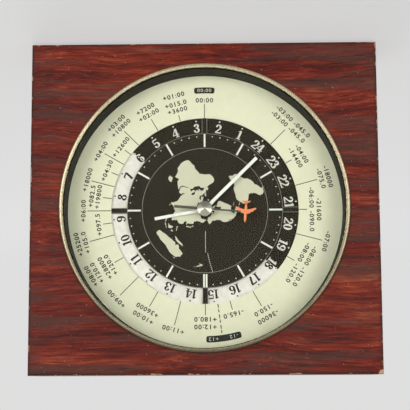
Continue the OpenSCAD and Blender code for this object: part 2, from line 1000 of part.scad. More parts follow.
module second_hand()
    color("#30281e")
        on_dial()
            at_clock(second_turn)
                difference() {
                    union() {
                        slab(second_front, second_t) {
                            circle(r = arbor_r + hub_w);
                            translate([-arm_w / 2, 0])
                                square([arm_w, plane_at]);
                            translate([-tail_w / 2, -tail_len])
                                square([tail_w, tail_len]);
                        }
                        rod(arbor_r + hub_w / 2, second_front, second_front + 3 * second_t);
                    }
                    rod(arbor_r, second_front - 1, second_front + 2);
                }

module hub_cap()
    color("#e6e6e6")
        on_dial()
            translate([0, 0, -second_front])
                rotate_extrude()
                    difference() {
                        polygon([
                            [0, 0], [cap_r, 0], [cap_r, 0.5],
                            [cap_r - 0.4, 0.9], [0.5, cap_h], [0, cap_h + 0.1]
                        ]);
                        translate([-1, -1])
                            square([arbor_r + 1, 1.2]);
                    }

// The aeroplane flies clockwise: its nose points along the turn
module aeroplane()
    color("#e8571e")
        on_dial()
            at_clock(second_turn)
                translate([0, plane_at, -second_front + plane_r])
                    rotate(-90) {
                        plane_fuselage();
                        plane_wings();
                    }

module plane_fuselage() {
    nose = plane_len / 2;
    rotate([-90, 0, 0])
        rotate_extrude($fn = 48)
            polygon([
                [0, -nose], [0.25, -nose + 0.2], [plane_r * 0.55, -nose + 1.4],
                [plane_r, -nose + 3.4], [plane_r, nose - 2.6],
                [plane_r * 0.85, nose - 1.3], [plane_r * 0.5, nose - 0.4],
                [0, nose]
            ]);
    translate([0, -nose + 0.1, plane_r * 0.35])
        rotate([90, 0, 90])
            translate([0, 0, -plane_wing_t / 2])
                linear_extrude(height = plane_wing_t)
                    polygon([[0, 0], [2.6, 0], [0.9, 1.5], [0.1, 1.5]]);
}

module plane_wings() {
    half = plane_span / 2;
    translate([0, 0, -plane_wing_t / 2])
        linear_extrude(height = plane_wing_t) {
            for (s = [-1, 1]) {
                polygon([[0, 1.7], [s * half, -1.4], [s * half, -2.2], [s * 1.6, -1.1], [0, -1.1]]);
                polygon([[0, -3.5], [s * 1.9, -4.8], [s * 1.9, -5.3], [0, -4.9]]);
            }
        }
    for (s = [-1, 1], x = [0.38, 0.66])
        translate([s * x * half, 1.5 - 3.1 * x - 0.2, -plane_wing_t / 2 + 0.1])
            rotate([90, 0, 0])
                cylinder(r = 0.32, h = 1.5, center = true, $fn = 24);
}

module fifth_wheel()
    color("#e8e4d6")
        on_dial()
            at(fifth_at) {
                wheel(
                    fifth_z, rotor_module,
                    0,
                    going_layer(3), arbor_r - tiny
                );
                slab(going_layer(2) - pinion_over, going_step + pinion_over + tiny)
                    gear_2d(leaf_z, m_second, 0);
                rod(arbor_r, arbor_front, arbor_rear);
            }

module rotor()
    color("#f0ece0")
        on_dial()
            at(rotor_at)
                union() {
                    pinion(
                        leaf_z, rotor_module,
                        mesh_turn(rotor_angle, fifth_z, 0, leaf_z),
                        going_layer(3)
                    );
                    rod(arbor_r, arbor_front, arbor_rear);
                    rod(magnet_bore, going_layer(0), going_layer(3));
                }

module rotor_magnet()
    color("#4a4a50")
        on_dial()
            at(rotor_at)
                tube(magnet_r, magnet_bore, stator_depth - 0.3, stator_depth + stator_t + 0.3);

// The stator plate goes round the magnet and lies on the coil's core at both ends
module stator()
    color("#8f9296")
        on_dial()
            difference() {
                slab(stator_depth, stator_t) {
                    translate([rotor_at.x - stator_w / 2, -stator_half])
                        square([stator_w, 2 * stator_half]);
                    for (s = [-1, 1])
                        translate([rotor_at.x, s * (stator_half - stator_arm / 2) - stator_arm / 2])
                            square([coil_gap + stator_arm / 2, stator_arm]);
                }
                at(rotor_at)
                    rod(magnet_r + magnet_gap, stator_depth - 1, stator_depth + stator_t + 1);
            }

module coil_core()
    color("#a5a8ab")
        on_dial()
            slab(stator_depth + stator_t, core_t) {
                translate([coil_x - 1, -stator_half])
                    square([2, 2 * stator_half]);
                for (s = [-1, 1])
                    translate([coil_x, s * (stator_half - stator_arm / 2)])
                        square(stator_arm, center = true);
            }

module coil_axis()
    on_dial()
        translate([coil_x, 0, -(stator_depth + stator_t + core_t / 2)])
            rotate([90, 0, 0])
                children();

module coil_bobbin()
    color("#2e6b3c")
        coil_axis()
            difference() {
                union() {
                    for (s = [-1, 1])
                        translate([0, 0, s * (coil_len + bobbin_end) / 2])
                            cylinder(r = coil_r + 0.2, h = bobbin_end, center = true);
                    cylinder(r = bobbin_core, h = coil_len + 2 * bobbin_end, center = true);
                }
                cube([2, core_t, coil_len + 4], center = true);
            }

module coil_winding()
    color("#a8552a")
        coil_axis()
            difference() {
                cylinder(r = coil_r, h = coil_len, center = true);
                cylinder(r = bobbin_core, h = coil_len + 2, center = true);
            }

module circuit_board()
    color("#2f6f45")
        on_dial()
            slab(board_depth, pcb_t)
                translate([board_x, board_y])
                    difference() {
                        square([board_w, board_h], center = true);
                        translate([board_w / 2, board_h / 2])
                            circle(r = 2);
                    }

module timing_chip()
    color("#161616")
        on_dial()
            translate([board_x - 5, board_y, -(board_depth + pcb_t)])
                mirror([0, 0, 1])
                    rotate_extrude()
                        intersection() {
                            translate([0, -2.2])
                                circle(r = 3.4);
                            square([3, 2]);
                        }

module quartz_can()
    color("#c9ccd0")
        on_dial()
            translate([board_x + 1, board_y + 1.5, -(board_depth + pcb_t + 1)])
                rotate([0, 90, 0]) {
                    cylinder(r = 1, h = 6.2);
                    translate([0, 0, -0.6])
                        cylinder(r = 0.8, h = 0.6 + tiny);
                }

module battery_tray()
    color("#2d2d30")
        on_dial()
            translate([0, cell_y, 0])
                difference() {
                    slab(tray_front, tray_rear - tray_front)
                        square([bay_len + 2 * tray_wall, tray_h], center = true);
                    translate([-bay_len / 2, -bay_in_r, -tray_rear - 1])
                        cube([bay_len, bay_h, tray_rear + 1 - cell_depth]);
                    translate([0, 0, -cell_depth])
                        rotate([0, 90, 0])
                            cylinder(r = bay_in_r, h = bay_len, center = true);
                    translate([0, -cell_y, 0])
                        lead_way();
                }

module battery()
    color("#b7772b")
        on_dial()
            translate([-cell_len / 2, cell_y, -cell_depth])
                rotate([0, 90, 0]) {
                    cylinder(r = cell_r, h = cell_len - 1.4);
                    translate([0, 0, cell_len - 1.4 - tiny])
                        cylinder(r = 2.7, h = 1.4 + tiny);
                }

// A bent spring strip at one end of the cell, with a tag for its lead
module contact(side, reach)
    color("#d8c27a")
        on_dial()
            translate([0, cell_y, 0])
                scale_side(side) {
                    translate([bay_len / 2 - strip_t, -1.5, -cell_depth])
                        cube([strip_t, 3, cell_depth - lead_depth + lead_r]);
                    translate([0, 0, -(cell_depth + strip_w / 2)])
                        linear_extrude(height = strip_w)
                            difference() {
                                polygon([
                                    [bay_len / 2, 5],
                                    [bay_len / 2 - strip_t, 5],
                                    [bay_len / 2 - reach, 0.8],
                                    [bay_len / 2 - reach, -0.8],
                                    [bay_len / 2 - strip_t, -5],
                                    [bay_len / 2, -5]
                                ]);
                                polygon([
                                    [bay_len / 2 - strip_t, 4],
                                    [bay_len / 2 - reach + strip_t, 0.5],
                                    [bay_len / 2 - reach + strip_t, -0.5],
                                    [bay_len / 2 - strip_t, -4]
                                ]);
                            }
                }

module scale_side(side)
    mirror([side > 0 ? 0 : 1, 0])
        children();

module contact_plus() contact(1, contact_space);
module contact_minus() contact(-1, contact_space);

// One straight stretch of a lead, with a round end, between two points
module lead_run(r, a, b)
    translate([a.x, a.y, -lead_depth]) {
        sphere(r = r, $fn = 24);
        rotate([0, 0, atan2(b.y - a.y, b.x - a.x)])
            rotate([0, 90, 0])
                cylinder(r = r, h = norm(b - a), $fn = 24);
    }

// The way of each lead: out of the bay past the cell, between the housing's
// pillars, and along the housing's floor to the circuit board
module lead_route(r)
    for (s = [-1, 1]) {
        end_x = board_x + s * (board_w / 2 - 2);
        lead_run(r, [s * tag_x, cell_y + 1], [s * tag_x, tunnel_y]);
        lead_run(r, [s * tag_x, tunnel_y], [s * lead_x, tunnel_y]);
        lead_run(r, [s * lead_x, tunnel_y], [s * lead_x, lead_y]);
        lead_run(r, [s * lead_x, lead_y], [end_x, lead_y]);
        lead_run(r, [end_x, lead_y], [end_x, board_y - 1]);
    }

// The room that the housing and the tray leave for the leads
module lead_way()
    intersection() {
        lead_route(lead_r + lead_room);
        translate([-move_w, cell_y, -(lead_depth + tray_h)])
            cube([2 * move_w, -cell_y - move_down + move_wall + tiny, 2 * tray_h]);
    }

module battery_leads()
    color("#a02018")
        on_dial()
            lead_route(lead_r);

case_front();
case_top();
case_bottom();
case_left();
case_right();
corner_blocks();
feet();
rear_cover();
rear_screws();
battery_door();
bezel();
crystal();
wall_ring();
dial();
hour_markers();
dial_carrier();
carrier_screws();
day_disc();
day_wheel();
day_idler();
movement_case();
middle_plate();
movement_back();
movement_screws();
centre_bush();
hour_wheel();
hour_hand();
minute_pinion();
minute_hand();
minute_wheel();
clutch_washer();
setting_stem();
setting_knob();
centre_wheel();
third_wheel();
second_wheel();
second_hand();
aeroplane();
hub_cap();
fifth_wheel();
rotor();
rotor_magnet();
stator();
coil_core();
coil_bobbin();
coil_winding();
circuit_board();
timing_chip();
quartz_can();
battery_tray();
battery();
contact_plus();
contact_minus();
battery_leads();
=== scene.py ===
# %% [markdown]
# A world time clock for the desk
#
# The clock is a block of mahogany veneer with a deep round dial. Its solids
# come ready from the frame, at their real size and place. This file dresses
# them: it prints the dial, gives every solid its finish, and sets a floor,
# soft lamps and a camera round it. It reads as a notebook, one step per cell.

# %% Load the frame
import math

import bmesh
import bpy
from mathutils import Matrix, Vector


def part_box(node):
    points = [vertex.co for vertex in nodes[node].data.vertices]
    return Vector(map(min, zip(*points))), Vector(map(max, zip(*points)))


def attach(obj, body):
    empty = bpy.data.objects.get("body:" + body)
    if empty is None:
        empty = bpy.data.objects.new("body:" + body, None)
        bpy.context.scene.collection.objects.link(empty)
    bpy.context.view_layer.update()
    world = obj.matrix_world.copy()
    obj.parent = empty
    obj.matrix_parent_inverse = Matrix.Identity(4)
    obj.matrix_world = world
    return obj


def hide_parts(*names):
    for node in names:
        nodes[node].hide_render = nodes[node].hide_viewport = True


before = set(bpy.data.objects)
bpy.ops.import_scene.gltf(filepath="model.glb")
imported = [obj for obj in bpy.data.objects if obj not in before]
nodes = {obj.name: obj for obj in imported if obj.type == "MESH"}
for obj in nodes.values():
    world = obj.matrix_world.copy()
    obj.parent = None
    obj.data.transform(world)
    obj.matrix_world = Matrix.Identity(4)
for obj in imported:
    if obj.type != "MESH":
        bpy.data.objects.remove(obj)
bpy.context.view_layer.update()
scene = bpy.context.scene

# %% [markdown]
# Everything on the dial is drawn in millimetres on a flat sheet, with x to the
# right and y up, and then stood up behind the glass. The dial's centre, the
# dial's face and the 24-hour disc's face are measured on the solids, so that
# the print sits on what carries it, with no typed height. Only the windows'
# two radii and the width of their bridges are typed, as on the solid dial.

# %% Measure the dial
MM = 0.001
dial_low, dial_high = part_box("dial")
CENTRE = (dial_low + dial_high) / 2
DIAL_FACE = dial_low.y
DISC_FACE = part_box("day_disc")[0].y
WINDOW_OUT = 45.3
WINDOW_IN = 37.7
BRIDGE = 2.6
print("dial centre", CENTRE, "face", DIAL_FACE, "disc face", DISC_FACE)


def stand(x=0.0, y=0.0, turn=0.0, face=DIAL_FACE, lift=0.02):
    """Matrix that stands a flat drawing in mm on the dial, turned clockwise."""
    up = Matrix.Rotation(math.radians(90), 4, "X")
    spin = Matrix.Rotation(math.radians(turn), 4, "Y")
    place = Matrix.Translation((CENTRE.x, face - lift * MM, CENTRE.z))
    return place @ spin @ up @ Matrix.Translation((x * MM, y * MM, 0)) @ Matrix.Scale(MM, 4)


# %% [markdown]
# A finish is a small web of nodes, and so is the world. Wired by hand, each
# would take pages, so one helper keeps the wiring short: `node` adds a node,
# `feed` joins or sets a socket, and `maths` and `add_up` do sums.

# %% A helper for webs of nodes
class Web:
    def __init__(self, tree):
        self.tree = tree

    def node(self, kind, **settings):
        made = self.tree.nodes.new("ShaderNode" + kind)
        for key, value in settings.items():
            setattr(made, key, value)
        return made

    def feed(self, socket, value):
        if isinstance(value, bpy.types.NodeSocket):
            self.tree.links.new(value, socket)
        else:
            socket.default_value = value

    def maths(self, operation, a, b=0.0):
        made = self.node("Math", operation=operation)
        self.feed(made.inputs[0], a)
        self.feed(made.inputs[1], b)
        return made.outputs[0]

    def add_up(self, *parts, base=0.0):
        """The base and the sum of (value, share) pairs."""
        total = base
        for value, share in parts:
            made = self.node("Math", operation="MULTIPLY_ADD")
            for socket, part in zip(made.inputs, (value, share, total)):
                self.feed(socket, part)
            total = made.outputs[0]
        return total


print("the web helper is ready")

# %% [markdown]
# Colour on an old clock changes from place to place, and seldom in one jump. So
# the next helper turns a value into colour by a ramp, softens an edge with a
# smooth step, and mixes two colours by a share.

# %% A helper for tones
class Tones(Web):
    def ramp(self, value, *stops):
        made = self.node("ValToRGB")
        ramp = made.color_ramp
        while len(ramp.elements) < len(stops):
            ramp.elements.new(0.5)
        for element, (where, colour) in zip(ramp.elements, stops):
            element.position = where
            element.color = (*colour, 1)
        self.feed(made.inputs["Fac"], value)
        return made.outputs["Color"]

    def step(self, value, low, high, top=1.0):
        """0 up to `low`, `top` from `high` on, smooth between. `low` may be the larger."""
        made = self.node("MapRange", interpolation_type="SMOOTHSTEP")
        for socket, part in zip(("Value", "From Min", "From Max", "To Max"), (value, low, high, top)):
            self.feed(made.inputs[socket], part)
        return made.outputs["Result"]

    def mix(self, share, a, b, blend="MIX"):
        made = self.node("Mix", data_type="RGBA", blend_type=blend)
        self.feed(made.inputs["Factor"], share)
        for socket, value in ((made.inputs[6], a), (made.inputs[7], b)):
            self.feed(socket, (*value, 1) if isinstance(value, tuple) else value)
        return made.outputs[2]


print("ramps, steps and mixes")

# %% [markdown]
# Grain, specks and clouds are noise. Its size is given in metres, because the
# solids have their real size, and three sizes stretch it along a board. All of
# it reads the Object coordinates, which stay with a piece when it turns.

# %% A helper for grain
class Grain(Tones):
    def __init__(self, tree):
        super().__init__(tree)
        self.place = self.node("TexCoord").outputs["Object"]

    def axes(self, vector=None):
        """The x, y and z of the place, or of another vector."""
        made = self.node("SeparateXYZ")
        self.feed(made.inputs[0], vector or self.place)
        return tuple(made.outputs)

    def mapped(self, scale=(1, 1, 1), at=(0, 0, 0), turn=(0, 0, 0)):
        made = self.node("Mapping", vector_type="TEXTURE")
        self.feed(made.inputs["Vector"], self.place)
        made.inputs["Location"].default_value = at
        made.inputs["Rotation"].default_value = turn
        made.inputs["Scale"].default_value = scale
        return made.outputs["Vector"]

    def noise(self, size, detail=4.0, rough=0.55, distortion=0.0):
        """Noise whose lumps are about `size` metres, or (x, y, z) metres."""
        stretch = size if isinstance(size, tuple) else (size, size, size)
        made = self.node("TexNoise", noise_dimensions="3D")
        self.feed(made.inputs["Vector"], self.mapped(scale=stretch))
        made.inputs["Scale"].default_value = 1.0
        made.inputs["Detail"].default_value = detail
        made.inputs["Roughness"].default_value = rough
        made.inputs["Distortion"].default_value = distortion
        return made.outputs["Fac"]

    def warped(self, size, amount):
        """The place, pushed about by a slow noise, so that straight grain waves."""
        slow = self.node("TexNoise", noise_dimensions="3D")
        self.feed(slow.inputs["Vector"], self.mapped(scale=(size, size, size)))
        slow.inputs["Scale"].default_value = 1.0
        push = self.node("VectorMath", operation="MULTIPLY_ADD")
        self.feed(push.inputs[0], slow.outputs["Color"])
        push.inputs[1].default_value = (amount, amount, amount)
        self.feed(push.inputs[2], self.place)
        return push.outputs[0]


print("grain in metres")

# %% [markdown]
# A finish is a shader with grain on it. Roughness and bump come from noise at
# the scale of the real surface, because an even gloss is what gives a computer
# model away.

# %% A helper for finishes
class Finish(Grain):
    def __init__(self, name, colour=(0.5, 0.5, 0.5), roughness=0.5, metallic=0.0, **sockets):
        self.mat = bpy.data.materials.new(name)
        self.mat.use_nodes = True
        super().__init__(self.mat.node_tree)
        self.skin = self.tree.nodes["Principled BSDF"]
        self.skin.inputs["Base Color"].default_value = (*colour, 1)
        self.skin.inputs["Roughness"].default_value = roughness
        self.skin.inputs["Metallic"].default_value = metallic
        for socket, value in sockets.items():
            self.skin.inputs[socket.replace("_", " ")].default_value = value

    def wear(self, size, low, high, depth=0.0):
        """Uneven gloss between two roughnesses, with a bump of `depth` metres."""
        grain = self.noise(size)
        spread = self.node("MapRange")
        names = ("Value", "From Min", "From Max", "To Min", "To Max")
        for socket, part in zip(names, (grain, 0.3, 0.7, low, high)):
            self.feed(spread.inputs[socket], part)
        self.feed(self.skin.inputs["Roughness"], spread.outputs["Result"])
        if depth:
            self.bump(grain, depth)

    def bump(self, height, depth):
        made = self.node("Bump")
        made.inputs["Distance"].default_value = depth
        self.feed(made.inputs["Height"], height)
        self.feed(self.skin.inputs["Normal"], made.outputs["Normal"])
        return made

    def paint(self, colour):
        self.feed(self.skin.inputs["Base Color"], colour)


def dress(finish, *names):
    """Gives CAD nodes a finish."""
    for name in names:
        slots = nodes[name].data.materials
        slots.clear()
        slots.append(finish.mat)


print("the finish helper is ready")

# %% [markdown]
# The dial's finishes change with the distance from the hands' axis and with
# the angle round it. Both are worked out from the Object coordinates, so the
# turning disc takes its white and black halves along. Lines that a lathe leaves
# are a noise that is read along the radius alone.

# %% A finish that knows its radius
class RoundFinish(Finish):
    def __init__(self, name, **settings):
        super().__init__(name, **settings)
        self.x, _, self.y = self.axes(self.mapped(at=tuple(CENTRE), scale=(MM, MM, MM)))
        self.radius = self.maths("SQRT", self.add_up((self.x, self.x), (self.y, self.y)))

    def lathe_lines(self, fineness, detail, depth):
        """A bump of circular lines, `depth` metres deep."""
        lines = self.node("TexNoise", noise_dimensions="1D")
        self.feed(lines.inputs["W"], self.maths("MULTIPLY", self.radius, fineness))
        lines.inputs["Detail"].default_value = detail
        return self.bump(lines.outputs["Fac"], depth)


print("round finishes measure in mm from", CENTRE)

# %% [markdown]
# Lacquer gathers dark at the front's edges, and hands have rubbed the very edge
# through to pale wood, unevenly. One corner is chipped. All three could be
# painted by hand, but a distance to the nearest edge gives them at any size.

# %% Worn edges
CASE_LOW, CASE_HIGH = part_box("case_front")


def worn_edges(wood, red):
    """Dark lacquer close to the front's edges, a pale rubbed line on them, one chip."""
    x, y, z = wood.axes()
    half = (CASE_HIGH - CASE_LOW) / 2
    height = wood.maths("SUBTRACT", z, CASE_LOW.z + half.z)
    across = wood.maths("SUBTRACT", half.x, wood.maths("ABSOLUTE", x))
    upright = wood.maths("SUBTRACT", half.z, wood.maths("ABSOLUTE", height))
    behind = wood.maths("SUBTRACT", y, CASE_LOW.y)
    edge = wood.maths("ADD", wood.maths("MINIMUM", across, upright), behind)
    uneven = wood.noise(0.006, 5, 0.7)
    red = wood.mix(wood.step(edge, 0.0022, 0.0004, 0.55), red, (0.050, 0.020, 0.012))
    rubbed = wood.maths("LESS_THAN", edge, wood.add_up((uneven, 0.0022), base=-0.00050))
    red = wood.mix(wood.maths("MULTIPLY", rubbed, 0.80), red, (0.66, 0.42, 0.26))
    corner = wood.node("VectorMath", operation="DISTANCE")
    wood.feed(corner.inputs[0], wood.place)
    corner.inputs[1].default_value = (CASE_LOW.x, CASE_LOW.y, CASE_HIGH.z)
    ragged_distance = wood.add_up((uneven, 0.003), base=corner.outputs["Value"])
    return wood.mix(wood.maths("LESS_THAN", ragged_distance, 0.0037), red, (0.66, 0.43, 0.25))


print("front from", CASE_LOW, "to", CASE_HIGH)

# %% [markdown]
# The case is a box covered in dark red mahogany veneer. Veneer is cut from one log, so its grain is one
# family of long streaks that wave a little: deep red and near-black bands, with fine dark pores along them.
# Aged lacquer lies on it as a grey film in long bands, more of it towards both sides. The red is painted a
# little deeper at the right, which is painted shade. Short pale flecks follow the grain where the lacquer
# has broken, and there are a few specks of dust. Each is a noise that is stretched along the grain. The
# boards turn the same recipe to their own direction.

# %% The veneer
def veneer(name, along):
    wood = Finish(name, roughness=0.42, Coat_Weight=0.02, Coat_Roughness=0.25, Specular_IOR_Level=0.10)

    def grain(length, width, *kind):
        return wood.noise(tuple(length if axis == along else width for axis in range(3)), *kind)

    straight = wood.place
    wood.place = wood.warped(0.085, 0.016)
    bands = grain(0.120, 0.0080, 6, 0.66, 0.5)
    streaks = grain(0.036, 0.0017, 6, 0.70, 0.3)
    fine = grain(0.014, 0.00055, 4, 0.65)
    flecks = grain(0.0065, 0.00042, 3, 0.6)
    pores = grain(0.0085, 0.00040, 2, 0.5, 0.2)
    wood.place = straight
    film = grain(0.075, 0.0060, 5, 0.62, 0.4)
    warm = grain(0.090, 0.022, 3, 0.6, 0.6)
    dust = wood.noise(0.0010, 1, 0.5)
    x = wood.axes()[0]
    film = wood.add_up((wood.maths("ABSOLUTE", x), 0.7), base=film)
    # The share of x makes the red deeper towards +x: painted shade.
    tone = wood.add_up((fine, 0.28), (streaks, 0.38), (bands, 0.34), (x, -0.16))
    red = wood.ramp(tone, (0.39, (0.036, 0.009, 0.007)), (0.45, (0.096, 0.013, 0.009)),
                    (0.50, (0.175, 0.019, 0.011)), (0.55, (0.262, 0.034, 0.017)),
                    (0.62, (0.410, 0.098, 0.044)))
    glowing = wood.mix(1.0, red, (1.50, 1.75, 1.45), "MULTIPLY")
    for mark, low, high, share, colour in (
            (warm, 0.46, 0.66, 0.75, glowing), (film, 0.50, 0.63, 0.62, (0.104, 0.050, 0.039)),
            (pores, 0.60, 0.70, 0.55, (0.030, 0.009, 0.008)), (flecks, 0.63, 0.74, 0.40, (0.42, 0.20, 0.14)),
            (dust, 0.755, 0.80, 0.60, (0.70, 0.52, 0.42))):
        red = wood.mix(wood.step(mark, low, high, share), red, colour)
    wood.paint(worn_edges(wood, red))
    wood.feed(wood.skin.inputs["Roughness"], wood.add_up((streaks, 0.30), base=0.27))
    wood.bump(wood.add_up((fine, 0.6), base=streaks), 0.00005)
    return wood


dress(veneer("veneer_across", 0), "case_front", "case_top", "case_bottom")
dress(veneer("veneer_upright", 2), "case_left", "case_right")
print("veneer on five boards")

# %% [markdown]
# The bezel is a thin spun ring of champagne-coloured metal. The solid's ring is
# made of flat strips, and on polished metal each strip would flash by itself.
# So a smooth ring takes its place. Its section is drawn as one flat face, the
# corners of that face are rounded with a bevel, and the outline is spun round
# the dial's axis. The radii are measured on the solid.

# %% Measure the bezel
ring_low, ring_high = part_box("bezel")
glass_low, glass_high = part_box("crystal")
PANEL_FACE = CASE_LOW.y


def axis_distance(co):
    return math.hypot(co.x - CENTRE.x, co.z - CENTRE.z)


ring_points = [v.co for v in nodes["bezel"].data.vertices]
BEZEL_R = max(axis_distance(co) for co in ring_points)
BEZEL_IN = min(axis_distance(co) for co in ring_points)
NECK_R = max(axis_distance(co) for co in ring_points if co.y > PANEL_FACE + 0.1 * MM)
SEAT_R = (glass_high.x - glass_low.x) / 2
NECK_Y = ring_high.y
LIP_Y = glass_low.y
print("bezel", round(BEZEL_R / MM, 2), "to", round(BEZEL_IN / MM, 2), "mm")

# %% [markdown]
# A bmesh is shaped first and then turned into a mesh and an object. The spin
# makes the ring in fine steps, merges where it meets itself, and its normals
# are worked out again, because a spin can turn a shape inside out.

# %% Spin a ring
RING_STEPS = 288


def as_mesh(name, shape):
    """A bmesh as a mesh. The bmesh is freed."""
    data = bpy.data.meshes.new(name)
    shape.to_mesh(data)
    shape.free()
    return data


def as_piece(name, shape):
    """A bmesh as an object in the scene."""
    piece = bpy.data.objects.new(name, as_mesh(name, shape))
    scene.collection.objects.link(piece)
    return piece


def spin_ring(name, corners, rounded):
    """Spins a section round the dial's axis. Each corner is (radius, y); the
    rounded ones are given as {corner's number: radius of the rounding}."""
    shape = bmesh.new()
    verts = [shape.verts.new((CENTRE.x + r, y, CENTRE.z)) for r, y in corners]
    shape.faces.new(verts)
    for number, size in rounded.items():
        bmesh.ops.bevel(shape, geom=[verts[number]], offset=size, segments=6, affect="VERTICES",
                        profile=0.5, material=-1)
    bmesh.ops.delete(shape, geom=shape.faces[:], context="FACES_ONLY")
    bmesh.ops.spin(shape, geom=shape.verts[:] + shape.edges[:], cent=CENTRE, axis=(0, 1, 0),
                   angle=math.tau, steps=RING_STEPS, use_merge=True)
    bmesh.ops.remove_doubles(shape, verts=shape.verts, dist=1e-7)
    bmesh.ops.recalc_face_normals(shape, faces=shape.faces)
    piece = as_piece(name, shape)
    piece.data.shade_smooth()
    piece.data.set_sharp_from_angle(angle=math.radians(35))
    return piece


bezel_ring = spin_ring("bezel_ring", [
    (BEZEL_R, PANEL_FACE), (BEZEL_R, ring_low.y), (BEZEL_IN, ring_low.y), (BEZEL_IN, LIP_Y),
    (SEAT_R, LIP_Y), (SEAT_R, NECK_Y), (NECK_R, NECK_Y), (NECK_R, PANEL_FACE)],
    {1: 0.95 * MM, 2: 0.22 * MM})
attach(bezel_ring, "root")
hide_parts("bezel")
print("the bezel's ring has", len(bezel_ring.data.polygons), "faces")

# %% [markdown]
# Spinning leaves fine circular lines in the metal. Age has left brown specks, most of all in the joint with
# the wood and at the lip, where a cloth never reaches. Towards its top the ring is painted darker, which is
# painted shade.

# %% The bezel's metal
OUTER = BEZEL_R / MM
bezel = RoundFinish("champagne_metal", metallic=1.0, roughness=0.34)
age = bezel.noise(0.0016, 6, 0.75)
edge = bezel.step(bezel.radius, OUTER - 0.55, OUTER - 0.05)
lip = bezel.step(bezel.radius, OUTER - 1.85, OUTER - 2.05, 0.9)
joint = bezel.maths("MAXIMUM", edge, lip)
spots = bezel.step(bezel.add_up((joint, 0.15), base=age), 0.60, 0.72)
clean = bezel.mix(spots, (0.44, 0.38, 0.245), (0.055, 0.043, 0.024))
# Painted shade: the ring's colour darkens towards its top.
bezel.paint(bezel.mix(bezel.step(bezel.y, -50, 45, 0.78), clean, (0.070, 0.058, 0.036)))
bezel.feed(bezel.skin.inputs["Roughness"], bezel.add_up((spots, 0.35), (age, 0.5)))
bezel.lathe_lines(14.0, 3, 0.00002)
bezel_ring.data.materials.append(bezel.mat)
dress(bezel, "bezel")
print("champagne metal with age spots")

# %% [markdown]
# The crystal is flat window glass. A transmissive skin bends and mirrors light
# as glass does. A path tracer finds little light behind such a pane, because
# its shadow rays stop at the glass, so the pane is told to cast no shadow. A
# low index stands for its coating, which keeps the black middle deep.

# %% The crystal
glass = Finish("window_glass", colour=(0.985, 1.0, 0.985), roughness=0.02,
               Transmission_Weight=1.0, IOR=1.18)
dress(glass, "crystal")
nodes["crystal"].visible_shadow = False

# %% [markdown]
# The dial plate carries two prints: cream enamel outside the windows, and near-black with a little dust
# inside them. Towards the black wall the cream is painted a little greener and darker, which is painted
# shade from the wall. The four bridges are black too, with hair-thin light lines beside the windows. One
# finish paints all of this from the radius, so no seam can gape.

# %% The dial's two colours
dial = RoundFinish("dial_enamel", roughness=0.5, Specular_IOR_Level=0.1)
# The ramp's last stop, near the black wall, is painted shade: a greener and darker cream.
tone = dial.ramp(dial.maths("DIVIDE", dial.radius, 70.0),
                 (0.60, (0.760, 0.745, 0.540)), (0.82, (0.745, 0.740, 0.530)),
                 (0.92, (0.745, 0.744, 0.530)), (0.98, (0.690, 0.700, 0.490)))
mottle = dial.noise(0.004, 5, 0.6)
cream = dial.mix(0.10, tone, dial.ramp(mottle, (0.35, (0.60, 0.60, 0.40)), (0.65, (0.86, 0.86, 0.64))))
dust = dial.step(dial.noise(0.0011, 1, 0.6), 0.80, 0.86, 0.30)
black = dial.mix(dust, (0.0195, 0.0145, 0.0060), (0.5, 0.45, 0.36))
outside = dial.step(dial.radius, WINDOW_OUT - 0.06, WINDOW_OUT - 0.02)
dial.paint(dial.mix(outside, black, cream))
dial.wear(0.006, 0.44, 0.58)
dress(dial, "dial")
print("cream outside", WINDOW_OUT, "mm, black inside", WINDOW_IN, "mm")

# %% [markdown]
# The 24-hour disc is half white for the day and half black for the night. Its
# numeral 12 stands in the middle of the white half. In the photograph a point
# of the scale 2.64 hours along stands at the dial's foot, so numeral n stands
# at 180 + (2.64 - n) x 15 degrees clockwise from the top. The halves part at
# 6 and 18, which is one straight line through the centre.

# %% The disc's two halves
SCALE_AT_FOOT = 2.64


def hour_angle(n):
    return 180 + (SCALE_AT_FOOT - n) * 15


noon = math.radians(hour_angle(12))
disc = RoundFinish("day_and_night_card", roughness=0.55, Specular_IOR_Level=0.1)
towards_noon = disc.add_up((disc.x, math.sin(noon)), (disc.y, math.cos(noon)))
day = disc.step(towards_noon, -0.03, 0.03)
card = disc.noise(0.0022, 5, 0.6)
white = disc.ramp(card, (0.3, (0.70, 0.665, 0.585)), (0.7, (0.83, 0.80, 0.72)))
night = disc.ramp(card, (0.3, (0.013, 0.010, 0.003)), (0.7, (0.022, 0.017, 0.006)))
disc.paint(disc.mix(day, night, white))
disc.wear(0.005, 0.45, 0.62)
dress(disc, "day_disc")
print("noon stands at", round(hour_angle(12) % 360, 1), "degrees")

# %% [markdown]
# The print itself is a set of thin ink pieces that lie 0.02 mm over their
# ground. Each is made flat with bmesh operators: a tick is a one-face grid, a
# dot is a filled circle, and a ring line is a circle that is extruded and
# drawn inwards. They share one bmesh for each ink, so that the dial gains a
# handful of objects, not hundreds.

